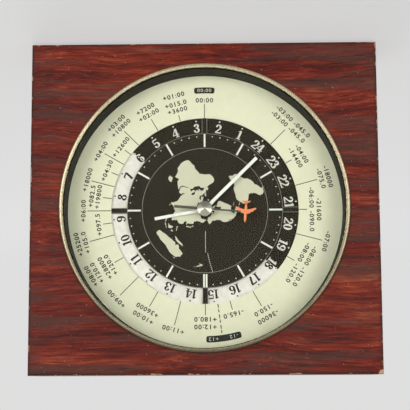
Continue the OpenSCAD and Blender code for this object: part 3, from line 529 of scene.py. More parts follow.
# %% Flat ink
class Ink:
    def __init__(self, name, finish, body="root", face=DIAL_FACE, lift=0.02, slot="dial_print"):
        self.name, self.finish, self.body, self.slot = name, finish, body, slot
        self.face, self.lift = face, lift
        self.mesh = bmesh.new()

    def at(self, x, y, turn):
        return stand(x, y, turn, self.face, self.lift)

    def dot(self, r, turn, size, sides=12):
        bmesh.ops.create_circle(self.mesh, cap_ends=True, segments=sides, radius=size / 2,
                                matrix=self.at(0, r, turn))

    def tick(self, r_from, r_to, turn, width, shift=0.0):
        shape = Matrix.Diagonal((width, r_to - r_from, 1, 1))
        bmesh.ops.create_grid(self.mesh, x_segments=1, y_segments=1, size=0.5,
                              matrix=self.at(shift, (r_from + r_to) / 2, turn) @ shape)

    def ring(self, r, width, segments=180):
        made = bmesh.ops.create_circle(self.mesh, segments=segments, radius=r + width / 2,
                                       matrix=self.at(0, 0, 0))
        rim = list({e for v in made["verts"] for e in v.link_edges})
        inner = bmesh.ops.extrude_edge_only(self.mesh, edges=rim)["geom"]
        verts = [v for v in inner if isinstance(v, bmesh.types.BMVert)]
        share = (r - width / 2) / (r + width / 2)
        centre = Vector((CENTRE.x, self.face - self.lift * MM, CENTRE.z))
        bmesh.ops.scale(self.mesh, vec=(share, 1, share), verts=verts,
                        space=Matrix.Translation(-centre))

    def add(self, data):
        """Takes a mesh into the print, and deletes it."""
        self.mesh.from_mesh(data)
        bpy.data.meshes.remove(data)

    def done(self):
        bmesh.ops.recalc_face_normals(self.mesh, faces=self.mesh.faces)
        for face in self.mesh.faces:
            if face.normal.y > 0:
                face.normal_flip()
        piece = as_piece(self.name, self.mesh)
        piece.data.materials.append(self.finish.mat)
        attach(piece, self.body)
        print(self.name, len(piece.data.polygons), "faces")


print("flat ink is ready")

# %% [markdown]
# Screen ink is a flat colour that breaks up a little where it lies thin. On the
# real dial it has yellowed with the enamel, so no ink is a pure black or white.

# %% Five inks
BROKEN, GROUND = 0.28, 0.35


def ink(name, colour, fade=0.25):
    made = Finish(name, colour=colour, roughness=0.5, Specular_IOR_Level=0.1)
    thin = made.maths("MULTIPLY", made.noise(0.0009, 4, 0.65), fade)
    worn = tuple((1 - BROKEN) * c + BROKEN * GROUND for c in colour)
    made.paint(made.mix(thin, colour, worn))
    made.wear(0.002, 0.40, 0.60)
    return made


BLACK_INK = ink("black_ink", (0.018, 0.015, 0.009), 0.12)
FINE_INK = ink("fine_black_ink", (0.016, 0.015, 0.009), 0.12)
CREAM_INK = ink("cream_ink", (0.62, 0.615, 0.44), 0.35)
LINE_INK = ink("thin_cream_ink", (0.44, 0.43, 0.31), 0.6)
WHITE_INK = ink("white_ink", (0.74, 0.72, 0.62), 0.3)
print("five inks")

# %% [markdown]
# Lettering is text made into a mesh. The dial tells what a world clock can tell
# with numbers alone: each zone's distance from the zero line, as hours and
# minutes, as degrees, or as seconds.

# %% Numbers as meshes
CAPITAL = 0.73


def as_flat_mesh(curve):
    """The mesh of a text or a filled curve. The curve is deleted."""
    holder = bpy.data.objects.new(curve.name, curve)
    scene.collection.objects.link(holder)
    bpy.context.view_layer.update()
    data = bpy.data.meshes.new_from_object(holder.evaluated_get(bpy.context.evaluated_depsgraph_get()))
    bpy.data.objects.remove(holder)
    bpy.data.curves.remove(curve)
    return data


def lettering(words, height, squeeze=1.0, weight=0.0, spacing=1.0):
    """A flat text mesh in mm, centred, capitals `height` mm high."""
    curve = bpy.data.curves.new("words", "FONT")
    curve.body = words
    curve.align_x = "CENTER"
    curve.align_y = "CENTER"
    curve.size = height / CAPITAL
    curve.offset = weight
    curve.space_character = spacing
    curve.resolution_u = 3
    data = as_flat_mesh(curve)
    data.transform(Matrix.Diagonal((squeeze, 1, 1, 1)))
    top = max(v.co.y for v in data.vertices)
    low = min(v.co.y for v in data.vertices)
    data.transform(Matrix.Translation((0, -(top + low) / 2, 0)))
    return data


def write(target, words, r, turn, height, **style):
    data = lettering(words, height, **style)
    data.transform(target.at(0, r, turn))
    target.add(data)


print("text becomes mesh before it is placed")

# %% [markdown]
# The numerals of the 24-hour disc are a heavy clock face of their own: thick
# uprights, thin flats, balls at the ends of the curves and flat feet. No font
# is at hand for that, so each numeral is drawn from three strokes. A bowl is
# two ellipses that are bridged, wide apart at its sides and close at its top
# and foot, and part of it may be left out. A bar is a one-face grid, and a ball
# is a filled circle. All sizes are in mm, on a numeral 4.2 mm high that is then
# drawn out to the width and height of the real one.

# %% Strokes of a numeral
BOWL_SIDE = 0.88
BOWL_FLAT = 0.42
BALL = 0.84


def bowl(mesh, place, x, y, wide, tall, start=0, end=360):
    """A swelled ring, kept from `start` to `end` degrees, counted from the right."""
    loops = []
    for a, b in ((wide, tall), (wide - BOWL_SIDE, tall - BOWL_FLAT)):
        shape = place @ Matrix.Translation((x, y, 0)) @ Matrix.Diagonal((a, b, 1, 1))
        loops.append(bmesh.ops.create_circle(mesh, segments=36, radius=1.0, matrix=shape)["verts"])
    rims = list({e for loop in loops for v in loop for e in v.link_edges})
    faces = bmesh.ops.bridge_loops(mesh, edges=rims)["faces"]
    home = place.inverted()
    spare = []
    for face in faces:
        at = home @ face.calc_center_median()
        turn = math.degrees(math.atan2((at.y - y) / tall, (at.x - x) / wide))
        if (turn - start) % 360 > end - start:
            spare.append(face)
    bmesh.ops.delete(mesh, geom=spare, context="FACES")


def bar(mesh, place, x0, y0, x1, y1, width):
    middle = Matrix.Translation(((x0 + x1) / 2, (y0 + y1) / 2, 0))
    slope = Matrix.Rotation(math.atan2(y1 - y0, x1 - x0), 4, "Z")
    shape = Matrix.Diagonal((math.hypot(x1 - x0, y1 - y0), width, 1, 1))
    bmesh.ops.create_grid(mesh, x_segments=1, y_segments=1, size=0.5,
                          matrix=place @ middle @ slope @ shape)


def ball(mesh, place, x, y, size=BALL):
    bmesh.ops.create_circle(mesh, cap_ends=True, segments=16, radius=size / 2,
                            matrix=place @ Matrix.Translation((x, y, 0)))


print("three strokes: bowl, bar and ball")

# %% [markdown]
# The table below spells the ten numerals with those strokes. A nine is a six
# turned over. In a numeral of two figures each takes its own width.

# %% The ten numerals
NUMERALS = {
    "0": [(bowl, 0, 0, 1.30, 2.1)],
    "1": [(bar, 0.1, -2.1, 0.1, 2.1, 0.85), (bar, -0.85, -1.95, 1.05, -1.95, 0.32),
          (bar, -0.80, 1.30, -0.10, 1.93, 0.34)],
    "2": [(bowl, 0, 0.92, 1.25, 1.18, -40, 160), (ball, -0.80, 1.10), (bar, 0.92, 0.45, -1.05, -1.70, 0.52),
          (bar, -1.28, -1.82, 1.28, -1.82, 0.56), (bar, 1.17, -2.1, 1.17, -1.10, 0.24)],
    "3": [(bowl, -0.05, 1.06, 1.12, 1.04, -90, 145), (bowl, -0.05, -0.94, 1.32, 1.16, -145, 90),
          (ball, -0.78, 1.22), (ball, -0.92, -1.18), (bar, -0.45, 0.12, 0.1, 0.12, 0.36)],
    "4": [(bar, 0.45, -2.1, 0.45, 2.1, 0.82), (bar, -1.42, -0.86, 1.36, -0.86, 0.40),
          (bar, 0.28, 2.0, -1.30, -0.80, 0.36), (bar, -0.35, -1.95, 1.25, -1.95, 0.30)],
    "5": [(bar, -0.98, 1.80, 1.05, 1.80, 0.58), (bar, -0.92, 0.10, -0.92, 1.80, 0.30),
          (bowl, -0.10, -0.75, 1.36, 1.35, -145, 130), (ball, -0.95, -1.18)],
    "6": [(bowl, 0, -0.84, 1.30, 1.26), (bowl, 0.15, 0, 1.45, 2.1, 62, 205), (ball, 0.86, 1.40)],
    "7": [(bar, -1.2, 1.76, 1.28, 1.76, 0.68), (bar, -1.12, 0.85, -1.12, 2.1, 0.26),
          (bar, 0.98, 1.60, -0.10, -2.0, 0.94)],
    "8": [(bowl, 0, 1.08, 1.08, 1.02), (bowl, 0, -0.96, 1.32, 1.14)],
}
WIDTHS = {"1": 2.20}
WIDTH = 2.66
STRETCH = Matrix.Diagonal((1.12, 1.05, 1, 1))


def numeral(mesh, words, place):
    whole = sum(WIDTHS.get(c, WIDTH) for c in words)
    x = -whole / 2
    for c in words:
        width = WIDTHS.get(c, WIDTH)
        here = place @ STRETCH @ Matrix.Translation((x + width / 2, 0, 0))
        if c == "9":
            here = here @ Matrix.Rotation(math.pi, 4, "Z")
        for stroke, *sizes in NUMERALS["6" if c == "9" else c]:
            stroke(mesh, here, *sizes)
        x += width


print(len(NUMERALS) + 1, "numerals spelt")

# %% [markdown]
# Day numerals are black and night numerals white, with a dot over each. The 6
# and the 18 stand right on the split, so they are drawn in both inks, and each
# ink is cut along the split. All of them ride on the disc's body and turn with
# it behind the four windows.

# %% The 24 hours on the disc
NUMERAL_R = 40.75
DOT_R = 44.2
to_noon = Vector((math.sin(noon), 0, math.cos(noon)))
day_ink = Ink("day_numerals", BLACK_INK, "day_disc", DISC_FACE, slot="disc_print")
night_ink = Ink("night_numerals", WHITE_INK, "day_disc", DISC_FACE, slot="disc_print")
for target, hours in ((day_ink, range(6, 19)), (night_ink, [*range(1, 7), *range(18, 25)])):
    for n in hours:
        numeral(target.mesh, str(n), target.at(0, NUMERAL_R, hour_angle(n)))
        target.dot(DOT_R, hour_angle(n), 0.78)
    everything = target.mesh.verts[:] + target.mesh.edges[:] + target.mesh.faces[:]
    bmesh.ops.bisect_plane(target.mesh, geom=everything, plane_co=CENTRE, plane_no=to_noon,
                           clear_inner=target is day_ink, clear_outer=target is night_ink)
    target.done()

# %% [markdown]
# The near-black middle of the dial holds a hair-thin ring round the map, small
# dots for the minutes between the batons, and a fine light line beside each
# bridge and round the windows' inner edge.

# %% The middle of the dial
MAP_R = 30.35
fine = Ink("middle_lines", LINE_INK)
fine.ring(MAP_R, 0.15)
fine.ring(WINDOW_IN - 0.16, 0.13)
for quarter in range(4):
    for side in (-1, 1):
        fine.tick(WINDOW_IN, WINDOW_OUT, 90 * quarter, 0.12, side * (BRIDGE / 2 - 0.12))
fine.done()
minutes = Ink("minute_dots", WHITE_INK)
for minute in range(60):
    if minute % 5:
        minutes.dot(36.2, 6 * minute, 0.60, 8)
minutes.done()

# %% [markdown]
# Round the windows run the zones. A thin line points from each zone to the
# disc, and the number stands at the line's end. The table gives for each zone
# its direction clockwise from the dial's foot, its hours, the radius at which
# the line ends, and the radius and the kind of each row of numbers. A broken
# line marks where the date changes, and two black plates hold the zero and the
# twelve.

# %% The zones round the windows
HM, DEG, BOTH, SEC = "hours and minutes", "degrees", "both", "seconds"
ZONES = [
    (0, 0, 52.3, [(54.2, HM)]), (45, -3, 55.5, [(57.6, BOTH), (61.2, BOTH)]),
    (60, -4, 48.7, [(50.9, SEC), (54.5, HM)]), (75, -5, 56.2, [(58.3, DEG), (61.8, SEC)]),
    (90, -6, 49.3, [(51.5, BOTH), (55.0, SEC)]), (105, -7, 58.2, [(60.3, HM)]),
    (120, -8, 49.4, [(51.5, BOTH), (55.2, BOTH)]), (150, -10, 53.6, [(55.7, DEG), (59.8, SEC)]),
    (165, -11, 49.8, [(52.0, DEG)]), (180, 12, 50.6, [(52.6, DEG), (56.2, HM)]),
    (195, 11, 57.2, [(59.4, HM)]), (210, 10, 53.4, [(55.5, SEC), (59.5, HM)]),
    (225, 9, 57.8, [(60.2, HM)]), (240, 8, 50.3, [(52.4, DEG), (55.6, SEC), (60.0, DEG), (63.3, HM)]),
    (255, 7, 57.6, [(59.6, DEG), (63.2, SEC)]), (262.5, 6.5, 49.6, [(51.8, DEG)]),
    (270, 6, 56.9, [(58.8, HM)]), (277.5, 5.5, 49.8, [(52.0, SEC), (55.2, DEG)]),
    (285, 5, 56.9, [(58.9, SEC)]), (292.5, 4.5, 49.0, [(51.4, HM)]), (300, 4, 56.2, [(58.4, HM)]),
    (307.5, 3.5, 49.0, [(51.4, SEC)]), (315, 3, 55.4, [(57.6, SEC), (61.0, HM)]),
    (330, 2, 52.0, [(54.3, HM), (57.8, SEC)]), (345, 1, 48.6, [(51.0, SEC), (54.2, DEG), (58.4, HM)]),
]
TEXT_H = 2.25
LINE_W = 0.36
DASH_STEP = 2.5
DASH_TURN = 180 + 172.5
DASH_W = 0.46


def told(hours, way):
    """A zone's distance from the zero line, told in one of four ways."""
    sign = "+" if hours > 0 else "-" if hours < 0 else ""
    size = abs(hours)
    clock = f"{sign}{int(size):02d}:{int(round(size % 1 * 60)):02d}"
    arc = f"{sign}{size * 15:05.1f}"
    return {HM: clock, DEG: arc, BOTH: f"{clock} {arc}", SEC: f"{sign}{size * 3600:.0f}"}[way]


zone_lines = Ink("zone_lines", FINE_INK)
zone_numbers = Ink("zone_numbers", FINE_INK)
for foot_angle, hours, end, rows in ZONES:
    turn = 180 + foot_angle
    zone_lines.tick(WINDOW_OUT + 0.05, end, turn, LINE_W)
    for radius, way in rows:
        write(zone_numbers, told(hours, way), radius, turn, TEXT_H, squeeze=1.08, weight=0.075, spacing=1.18)
for dash in range(6):
    start = WINDOW_OUT + 0.4 + dash * DASH_STEP
    zone_lines.tick(start, start + (1.5 if dash % 2 else 1.9), DASH_TURN, DASH_W)
zone_lines.done()
zone_numbers.done()

# %% [markdown]
# The two plates are rounded bars bent along the dial. A grid is laid out flat
# with one face in height and many in length, its ends are rounded by a bevel
# of its corners, and each of its points is then bent round the dial's centre.

# %% The two black plates
ZERO_R, ZERO_TURN = 59.15, 180
TWELVE_R, TWELVE_TURN = 62.1, 180 + 171.9
TWELVE_APART = 4.5
PLATE_CUTS = 12


def plate(target, r, turn, length, height):
    shape = bmesh.new()
    bmesh.ops.create_grid(shape, x_segments=1, y_segments=1, size=0.5,
                          matrix=Matrix.Diagonal((length, height, 1, 1)))
    bmesh.ops.bevel(shape, geom=shape.verts[:], offset=height * 0.32, segments=5,
                    affect="VERTICES", profile=0.5, material=-1)
    for cut in range(1, PLATE_CUTS):
        x = -length / 2 + cut * length / PLATE_CUTS
        bmesh.ops.bisect_plane(shape, geom=shape.verts[:] + shape.edges[:] + shape.faces[:],
                               plane_co=(x, 0, 0), plane_no=(1, 0, 0))
    for v in shape.verts:
        bend = v.co.x / r
        v.co = Vector(((r + v.co.y) * math.sin(bend), (r + v.co.y) * math.cos(bend) - r, 0))
    bmesh.ops.transform(shape, matrix=target.at(0, r, turn), verts=shape.verts)
    target.add(as_mesh("plate", shape))


plates = Ink("black_plates", BLACK_INK)
plate(plates, ZERO_R, ZERO_TURN, 10.0, 3.0)
plate(plates, TWELVE_R, TWELVE_TURN, 16.9, 3.1)
plates.done()
plate_numbers = Ink("plate_numbers", CREAM_INK, lift=0.04)
for words, r, turn, squeeze in (("00:00", ZERO_R, ZERO_TURN, 1.15),
                                ("-12", TWELVE_R, TWELVE_TURN - TWELVE_APART, 1.2),
                                ("+12", TWELVE_R, TWELVE_TURN + TWELVE_APART, 1.2)):
    write(plate_numbers, words, r, turn, 1.7, squeeze=squeeze, spacing=1.2, weight=0.01)
plate_numbers.done()

# %% [markdown]
# The map looks down on the North Pole: the distance from the centre grows
# evenly with the distance from the pole, and the zero meridian points to the
# dial's foot. Coasts are closed outlines through a few known places, in degrees
# of latitude and longitude.

# %% Places on the coasts
LAND = {
    "north_america": [(71, -156), (70, -141), (69, -115), (68, -95), (72, -95), (69, -82), (63, -92),
        (57, -92), (52, -80), (58, -77), (62, -74), (58, -64), (52, -56), (47, -60), (44, -67),
        (41, -71), (35, -76), (30, -81), (25, -80), (30, -85), (29, -94), (22, -98), (19, -92),
        (21, -87), (15, -88), (11, -84), (9, -80), (8, -77), (7, -80), (13, -88), (16, -95),
        (20, -105), (27, -111), (31, -114), (23, -110), (30, -116), (34, -120), (41, -124),
        (48, -124), (55, -131), (60, -146), (57, -157), (55, -163), (60, -165), (65, -167)],
    "greenland": [(83, -35), (80, -18), (73, -22), (69, -25), (65, -39), (60, -44), (64, -51),
        (70, -54), (76, -67), (79, -72), (82, -55)],
    "islands_north": [(73, -80), (67, -64), (63, -68), (68, -78), (72, -89), (75, -95), (79, -92),
        (83, -75), (80, -77), (76, -82)],
    "south_america": [(12, -72), (10, -62), (5, -52), (0, -50), (-3, -40), (-7, -35), (-13, -39),
        (-22, -41), (-25, -48), (-34, -54), (-38, -57), (-41, -63), (-47, -66), (-52, -69),
        (-55, -67), (-53, -73), (-45, -75), (-37, -73), (-27, -71), (-18, -70), (-14, -76),
        (-6, -81), (1, -80), (7, -77)],
    "eurasia": [(71, 28), (66, 42), (68, 55), (73, 70), (72, 80), (77, 104), (73, 127), (71, 150),
        (69, 170), (66, -171), (64, 178), (60, 163), (52, 157), (58, 162), (61, 158), (59, 143),
        (54, 137), (47, 139), (42, 131), (39, 127), (35, 129), (37, 126), (40, 122), (37, 119),
        (31, 122), (25, 119), (21, 109), (16, 108), (10, 107), (10, 105), (13, 100), (7, 100),
        (2, 103), (8, 98), (16, 97), (22, 91), (16, 82), (8, 77), (20, 73), (24, 67), (26, 57),
        (30, 50), (24, 52), (24, 56), (17, 55), (13, 45), (21, 39), (29, 34), (32, 35), (36, 36),
        (36, 30), (38, 26), (41, 29), (41, 41), (46, 37), (46, 31), (41, 28), (40, 23), (37, 22),
        (42, 19), (45, 13), (41, 17), (38, 16), (44, 9), (43, 4), (38, 0), (36, -5), (37, -9),
        (43, -9), (43, -2), (48, -4), (51, 3), (54, 9), (57, 10), (54, 12), (54, 19), (59, 24),
        (60, 29), (60, 22), (65, 25), (64, 20), (60, 17), (56, 15), (59, 10), (58, 6), (63, 8), (69, 16)],
    "africa": [(36, -5), (37, 10), (33, 11), (31, 19), (32, 30), (30, 33), (22, 37), (15, 40),
        (11, 44), (12, 51), (2, 46), (-6, 39), (-15, 41), (-20, 35), (-26, 33), (-34, 26),
        (-35, 19), (-28, 16), (-17, 12), (-9, 13), (0, 9), (4, 8), (6, 1), (4, -8), (9, -13),
        (15, -17), (21, -17), (28, -12), (33, -8)],
    "australia": [(-11, 142), (-18, 146), (-25, 153), (-33, 152), (-38, 148), (-38, 141), (-35, 137),
        (-32, 132), (-34, 123), (-34, 115), (-26, 113), (-20, 118), (-15, 125), (-12, 131),
        (-12, 137), (-17, 140)],
    "britain": [(58, -5), (57, -2), (53, 1), (51, 1), (50, -5), (53, -4), (55, -5)],
    "iceland": [(66, -22), (66, -15), (64, -14), (63, -20), (65, -24)],
    "madagascar": [(-12, 49), (-17, 50), (-25, 47), (-25, 44), (-18, 44)],
    "japan_main": [(45, 142), (43, 145), (41, 141), (36, 141), (35, 136), (31, 131), (34, 131),
        (37, 137), (41, 140)],
    "sumatra": [(5, 95), (0, 103), (-6, 105), (-1, 100)],
    "borneo": [(7, 117), (1, 118), (-4, 115), (0, 109)],
    "java": [(-6, 105), (-7, 113), (-9, 115), (-8, 108)],
    "celebes": [(1, 120), (1, 124), (-2, 121), (-5, 120)],
    "new_guinea": [(-1, 131), (-3, 138), (-6, 147), (-10, 150), (-8, 143), (-8, 138), (-4, 133)],
    "philippines": [(18, 121), (14, 122), (7, 126), (10, 123), (14, 120)],
    "new_zealand": [(-35, 173), (-38, 178), (-42, 174), (-46, 168), (-41, 172), (-38, 175)],
    "ceylon": [(9, 80), (7, 82), (6, 80)],
    "arctic_islands": [(77, 68), (74, 56), (71, 52), (74, 60)],
    "tasmania": [(-41, 145), (-41, 148), (-43, 147)],
    "cuba": [(23, -83), (21, -76), (20, -74), (20, -77)],
    "victoria_island": [(73, -118), (73, -106), (69, -103), (69, -116)],
}


print(len(LAND), "coasts")

# %% [markdown]
# Between its places a coast is broken up into smaller uneven stretches, by a
# sine that scatters well and is the same in each run. A flat curve with a fill
# makes the land, and it becomes a mesh before it is stood on the dial.

# %% The land
DEGREES_TO_RING = 146
MAP_STEP = MAP_R / DEGREES_TO_RING
SWAY = 0.11
SWAY_BY_PLACE = 3 * 12.9898
SWAY_BY_LEVEL = 78.233
LONGEST_STRETCH = 60


def on_map(latitude, longitude):
    r = (90 - latitude) * MAP_STEP
    turn = math.radians(180 - longitude)
    return r * math.sin(turn), r * math.cos(turn), 0.0


def coast(name, places):
    """One filled outline as a flat mesh in mm."""
    curve = bpy.data.curves.new(name, "CURVE")
    curve.dimensions = "2D"
    curve.fill_mode = "BOTH"
    line = curve.splines.new("POLY")
    line.points.add(len(places) - 1)
    for point, place in zip(line.points, places):
        point.co = (*on_map(*place), 1.0)
    line.use_cyclic_u = True
    return as_flat_mesh(curve)


def ragged(places):
    """Breaks each stretch of coast into smaller uneven ones, but for one that
    crosses 180 degrees."""
    for level in range(3):
        finer = []
        for i, (a, b) in enumerate(zip(places, places[1:] + places[:1])):
            finer.append(a)
            if abs(b[1] - a[1]) < LONGEST_STRETCH:
                sway = SWAY * math.sin((i + 1) * SWAY_BY_PLACE + level * SWAY_BY_LEVEL)
                finer.append(((a[0] + b[0]) / 2 + sway * (b[1] - a[1]),
                              (a[1] + b[1]) / 2 - sway * (b[0] - a[0])))
        places = finer
    return places


land = Ink("map_land", CREAM_INK)
for name, places in LAND.items():
    data = coast(name, ragged(places))
    data.transform(land.at(0, 0, 0))
    land.add(data)
land.done()

# %% [markdown]
# The line of the date change runs down the map from the top of its ring as a
# chain of short strokes, with one step aside where the real line dodges land.

# %% The date line on the map
STROKE_STEP, STROKE, STROKE_W = 0.95, 0.60, 0.34
date_line = Ink("map_date_line", CREAM_INK, lift=0.03)
for stroke in range(11):
    start = 10.4 + STROKE_STEP * stroke
    date_line.tick(start, start + STROKE, 0, STROKE_W, -0.2)
for stroke in range(10):
    start = 21.0 + STROKE_STEP * stroke
    date_line.tick(start, start + STROKE, -3.5 - 0.35 * stroke, STROKE_W)
date_line.done()

# %% [markdown]
# The batons are white lacquered strips. The hands are cut from thin sheet and
# lacquered white, the second hand is dark bronze, and the aeroplane on it is
# orange. Lacquer this thin shows a soft gloss with fine scratches.

# %% Batons, hands and aeroplane
def lacquer(name, colour):
    made = Finish(name, colour=colour, Coat_Weight=0.15, Coat_Roughness=0.2)
    cloud = made.noise(0.004, 4, 0.6)
    worn = tuple(c * 0.86 for c in colour)
    made.paint(made.mix(made.step(cloud, 0.45, 0.75), colour, worn))
    made.wear(0.0012, 0.28, 0.42, 0.000006)
    return made


dress(lacquer("baton_lacquer", (0.80, 0.80, 0.70)), "hour_markers")
dress(lacquer("hand_lacquer", (0.84, 0.86, 0.76)), "hour_hand", "minute_hand")
dress(lacquer("dark_lacquer", (0.060, 0.052, 0.036)), "second_hand")
dress(lacquer("orange_lacquer", (0.90, 0.27, 0.085)), "aeroplane")
print("hands lacquered")

# %% [markdown]
# The cap over the hands is a turned cone of bright metal. The lathe leaves
# rings so fine that light spreads across them and not along them, and the cone
# then shows two bright and two dark wedges. Anisotropy with a tangent round the
# axis, turned by a quarter, does this. The rings' own faces are shallower than
# the cone, so the shading normal leans towards the axis.

# %% The polished cap
cap = RoundFinish("turned_steel", colour=(0.56, 0.54, 0.44), metallic=1.0, roughness=0.24,
                  Anisotropic=1.0, Anisotropic_Rotation=0.25)
tangent = cap.node("Tangent", direction_type="RADIAL", axis="Y")
cap.feed(cap.skin.inputs["Tangent"], tangent.outputs["Tangent"])
lean = cap.node("VectorMath", operation="ADD")
cap.feed(lean.inputs[0], cap.node("TexCoord").outputs["Normal"])
lean.inputs[1].default_value = (0, -1.2, 0)
outwards = cap.node("VectorTransform", vector_type="NORMAL", convert_from="OBJECT", convert_to="WORLD")
cap.feed(outwards.inputs[0], lean.outputs[0])
relief = cap.lathe_lines(26.0, 2, 0.000006)
cap.feed(relief.inputs["Normal"], outwards.outputs[0])
dress(cap, "hub_cap")
cap_low, cap_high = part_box("hub_cap")
print("cap", round((cap_high.x - cap_low.x) / MM, 1), "mm wide")

# %% [markdown]
# Behind the glass a black moulded wall hides the joint of dial and case. At the
# back sits a grained plastic cover, with a battery door, a fluted knob and four
# screws. Moulded plastic has a fine even grain from the tool, with a slow
# change of gloss where fingers have polished it.

# %% Moulded plastics
def moulded(name, colour, grain=0.0006, low=0.42, high=0.62, depth=0.00003, shine=0.5):
    made = Finish(name, colour=colour, Specular_IOR_Level=shine)
    slow = made.noise(0.02, 3, 0.5)
    lighter = tuple(min(1.0, c * 1.35 + 0.004) for c in colour)
    made.paint(made.mix(slow, colour, lighter))
    made.wear(grain, low, high, depth)
    return made


dress(moulded("black_wall", (0.006, 0.004, 0.001), 0.0008, 0.5, 0.7, shine=0.10), "wall_ring")
dress(moulded("black_carrier", (0.014, 0.014, 0.015)), "dial_carrier")
dress(moulded("grained_cover", (0.022, 0.019, 0.018), 0.00075, 0.45, 0.7, 0.00012), "rear_cover",
      "battery_door")
dress(moulded("knob_black", (0.014, 0.014, 0.015), 0.0012, 0.28, 0.42, 0.00001), "setting_knob")
dress(moulded("housing_grey", (0.075, 0.075, 0.080)), "movement_case", "movement_back", "battery_tray")
dress(moulded("acetal_white", (0.70, 0.67, 0.58), 0.001, 0.35, 0.5, 0.00001), "middle_plate", "day_wheel",
      "day_idler", "hour_wheel", "minute_wheel", "fifth_wheel", "rotor")
dress(moulded("bobbin_green", (0.05, 0.22, 0.09)), "coil_bobbin")
dress(moulded("black_resin", (0.010, 0.010, 0.010), 0.001, 0.2, 0.35, 0.00001), "timing_chip")
dress(moulded("red_sleeve", (0.42, 0.030, 0.020), 0.0008, 0.3, 0.45, 0.00001), "battery_leads")
print("plastics done")

# %% [markdown]
# The metals differ in their marks. Wheels of brass are stamped and grained one
# way, zinc-plated screws are mottled with a yellow tinge, spring steel is
# bright, and soft iron is dull. One helper takes colour, scale and gloss.

# %% Metals
TARNISH = 0.75


def metal(name, colour, mark=0.0004, along=(1, 1, 6), low=0.22, high=0.45):
    made = Finish(name, colour=colour, metallic=1.0)
    cloud = made.noise(0.003, 4, 0.6)
    made.paint(made.mix(cloud, colour, tuple(c * TARNISH for c in colour)))
    made.wear(tuple(mark * a for a in along), low, high, 0.000006)
    return made


dress(metal("stamped_brass", (0.72, 0.53, 0.24)), "centre_bush", "minute_pinion", "setting_stem",
      "centre_wheel", "third_wheel", "second_wheel")
dress(metal("zinc_plate", (0.66, 0.60, 0.42), 0.0006, (1, 1, 1), 0.25, 0.5), "rear_screws",
      "carrier_screws", "movement_screws")
dress(metal("bright_spring", (0.72, 0.71, 0.66)), "clutch_washer", "contact_plus",
      "contact_minus", "quartz_can")
dress(metal("soft_iron", (0.46, 0.47, 0.48), 0.0006, (6, 1, 1), 0.35, 0.55), "stator", "coil_core")
dress(metal("ground_ferrite", (0.10, 0.10, 0.11), 0.0005, (1, 1, 1), 0.45, 0.6), "rotor_magnet")
print("metals done")

# %% [markdown]
# What is left is inside: the copper winding with its fine turns, the green
# board, the cell in its plain jacket, and the bare blocks in the case's
# corners. Felt pads under the case keep it from scratching a desk.

# %% The rest of the inside, and the feet
copper = Finish("enamelled_copper", colour=(0.55, 0.20, 0.075), metallic=1.0, roughness=0.3)
turns = copper.node("TexWave", wave_type="BANDS", bands_direction="Z")
copper.feed(turns.inputs["Vector"], copper.mapped(scale=(0.004, 0.004, 0.004)))
turns.inputs["Scale"].default_value = 6.0
copper.paint(copper.mix(turns.outputs["Fac"], (0.30, 0.09, 0.035), (0.60, 0.24, 0.09)))
copper.bump(turns.outputs["Fac"], 0.00004)
dress(copper, "coil_winding")

board = Finish("solder_mask", colour=(0.02, 0.17, 0.065), roughness=0.3)
track = board.node("TexBrick", offset=0.5)
board.feed(track.inputs["Vector"], board.mapped(scale=(0.006, 0.006, 0.006), turn=(math.radians(90), 0, 0)))
track.inputs["Scale"].default_value = 1.0
track.inputs["Mortar Size"].default_value = 0.05
board.paint(board.mix(track.outputs["Fac"], (0.02, 0.17, 0.065), (0.05, 0.26, 0.10)))
board.wear(0.002, 0.25, 0.4)
dress(board, "circuit_board")

PLUS_BAND = 16.5 * MM
PLUS_END = 1.6 * MM
cell_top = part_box("battery")[1].x
cell = Finish("cell_jacket", roughness=0.3)
along_cell = cell.axes()[0]
band = cell.step(along_cell, cell_top - PLUS_BAND, cell_top - PLUS_BAND + 0.2 * MM)
cap_end = cell.step(along_cell, cell_top - PLUS_END, cell_top - PLUS_END + 0.1 * MM)
jacket = cell.mix(band, (0.020, 0.020, 0.022), (0.55, 0.28, 0.06))
cell.paint(cell.mix(cap_end, jacket, (0.7, 0.7, 0.68)))
cell.wear(0.003, 0.2, 0.38, 0.000008)
dress(cell, "battery")

bare = Finish("bare_wood", roughness=0.7)
rings = bare.noise((0.0012, 0.04, 0.0035), 5, 0.6)
bare.paint(bare.ramp(rings, (0.35, (0.34, 0.20, 0.095)), (0.65, (0.56, 0.38, 0.21))))
bare.bump(rings, 0.00008)
dress(bare, "corner_blocks")

felt = Finish("felt", colour=(0.022, 0.022, 0.024), roughness=0.95, Sheen_Weight=0.4)
fuzz = felt.noise(0.00035, 6, 0.75)
felt.paint(felt.ramp(fuzz, (0.35, (0.012, 0.012, 0.013)), (0.65, (0.06, 0.06, 0.065))))
felt.bump(fuzz, 0.0003)
dress(felt, "feet")
undressed = [n for n, o in nodes.items() if not o.data.materials or not o.data.materials[0].use_nodes]
print("undressed:", undressed)

# %% [markdown]
# The world is one pale tone for the camera, and for what metal mirrors and the
# glass lets through, so that both show the same background. Light that falls
# on the clock comes from a quieter sky, so that the pale ground doesn't flood
# it.

# %% The world
PALE = (0.735, 0.735, 0.733)
scene.view_settings.view_transform = "Standard"
world = bpy.data.worlds.new("pale_room")
scene.world = world
world.use_nodes = True


def tone_of(web, kind, colour, strength=None):
    """A plain shader of one colour."""
    made = web.node(kind)
    made.inputs["Color"].default_value = (*colour, 1)
    if strength is not None:
        made.inputs["Strength"].default_value = strength
    return made.outputs[0]


def choose(web, share, a, b):
    """Shader `a` where the share is 0, and `b` where it is 1."""
    made = web.node("MixShader")
    for socket, value in zip(made.inputs, (share, a, b)):
        web.feed(socket, value)
    return made.outputs[0]


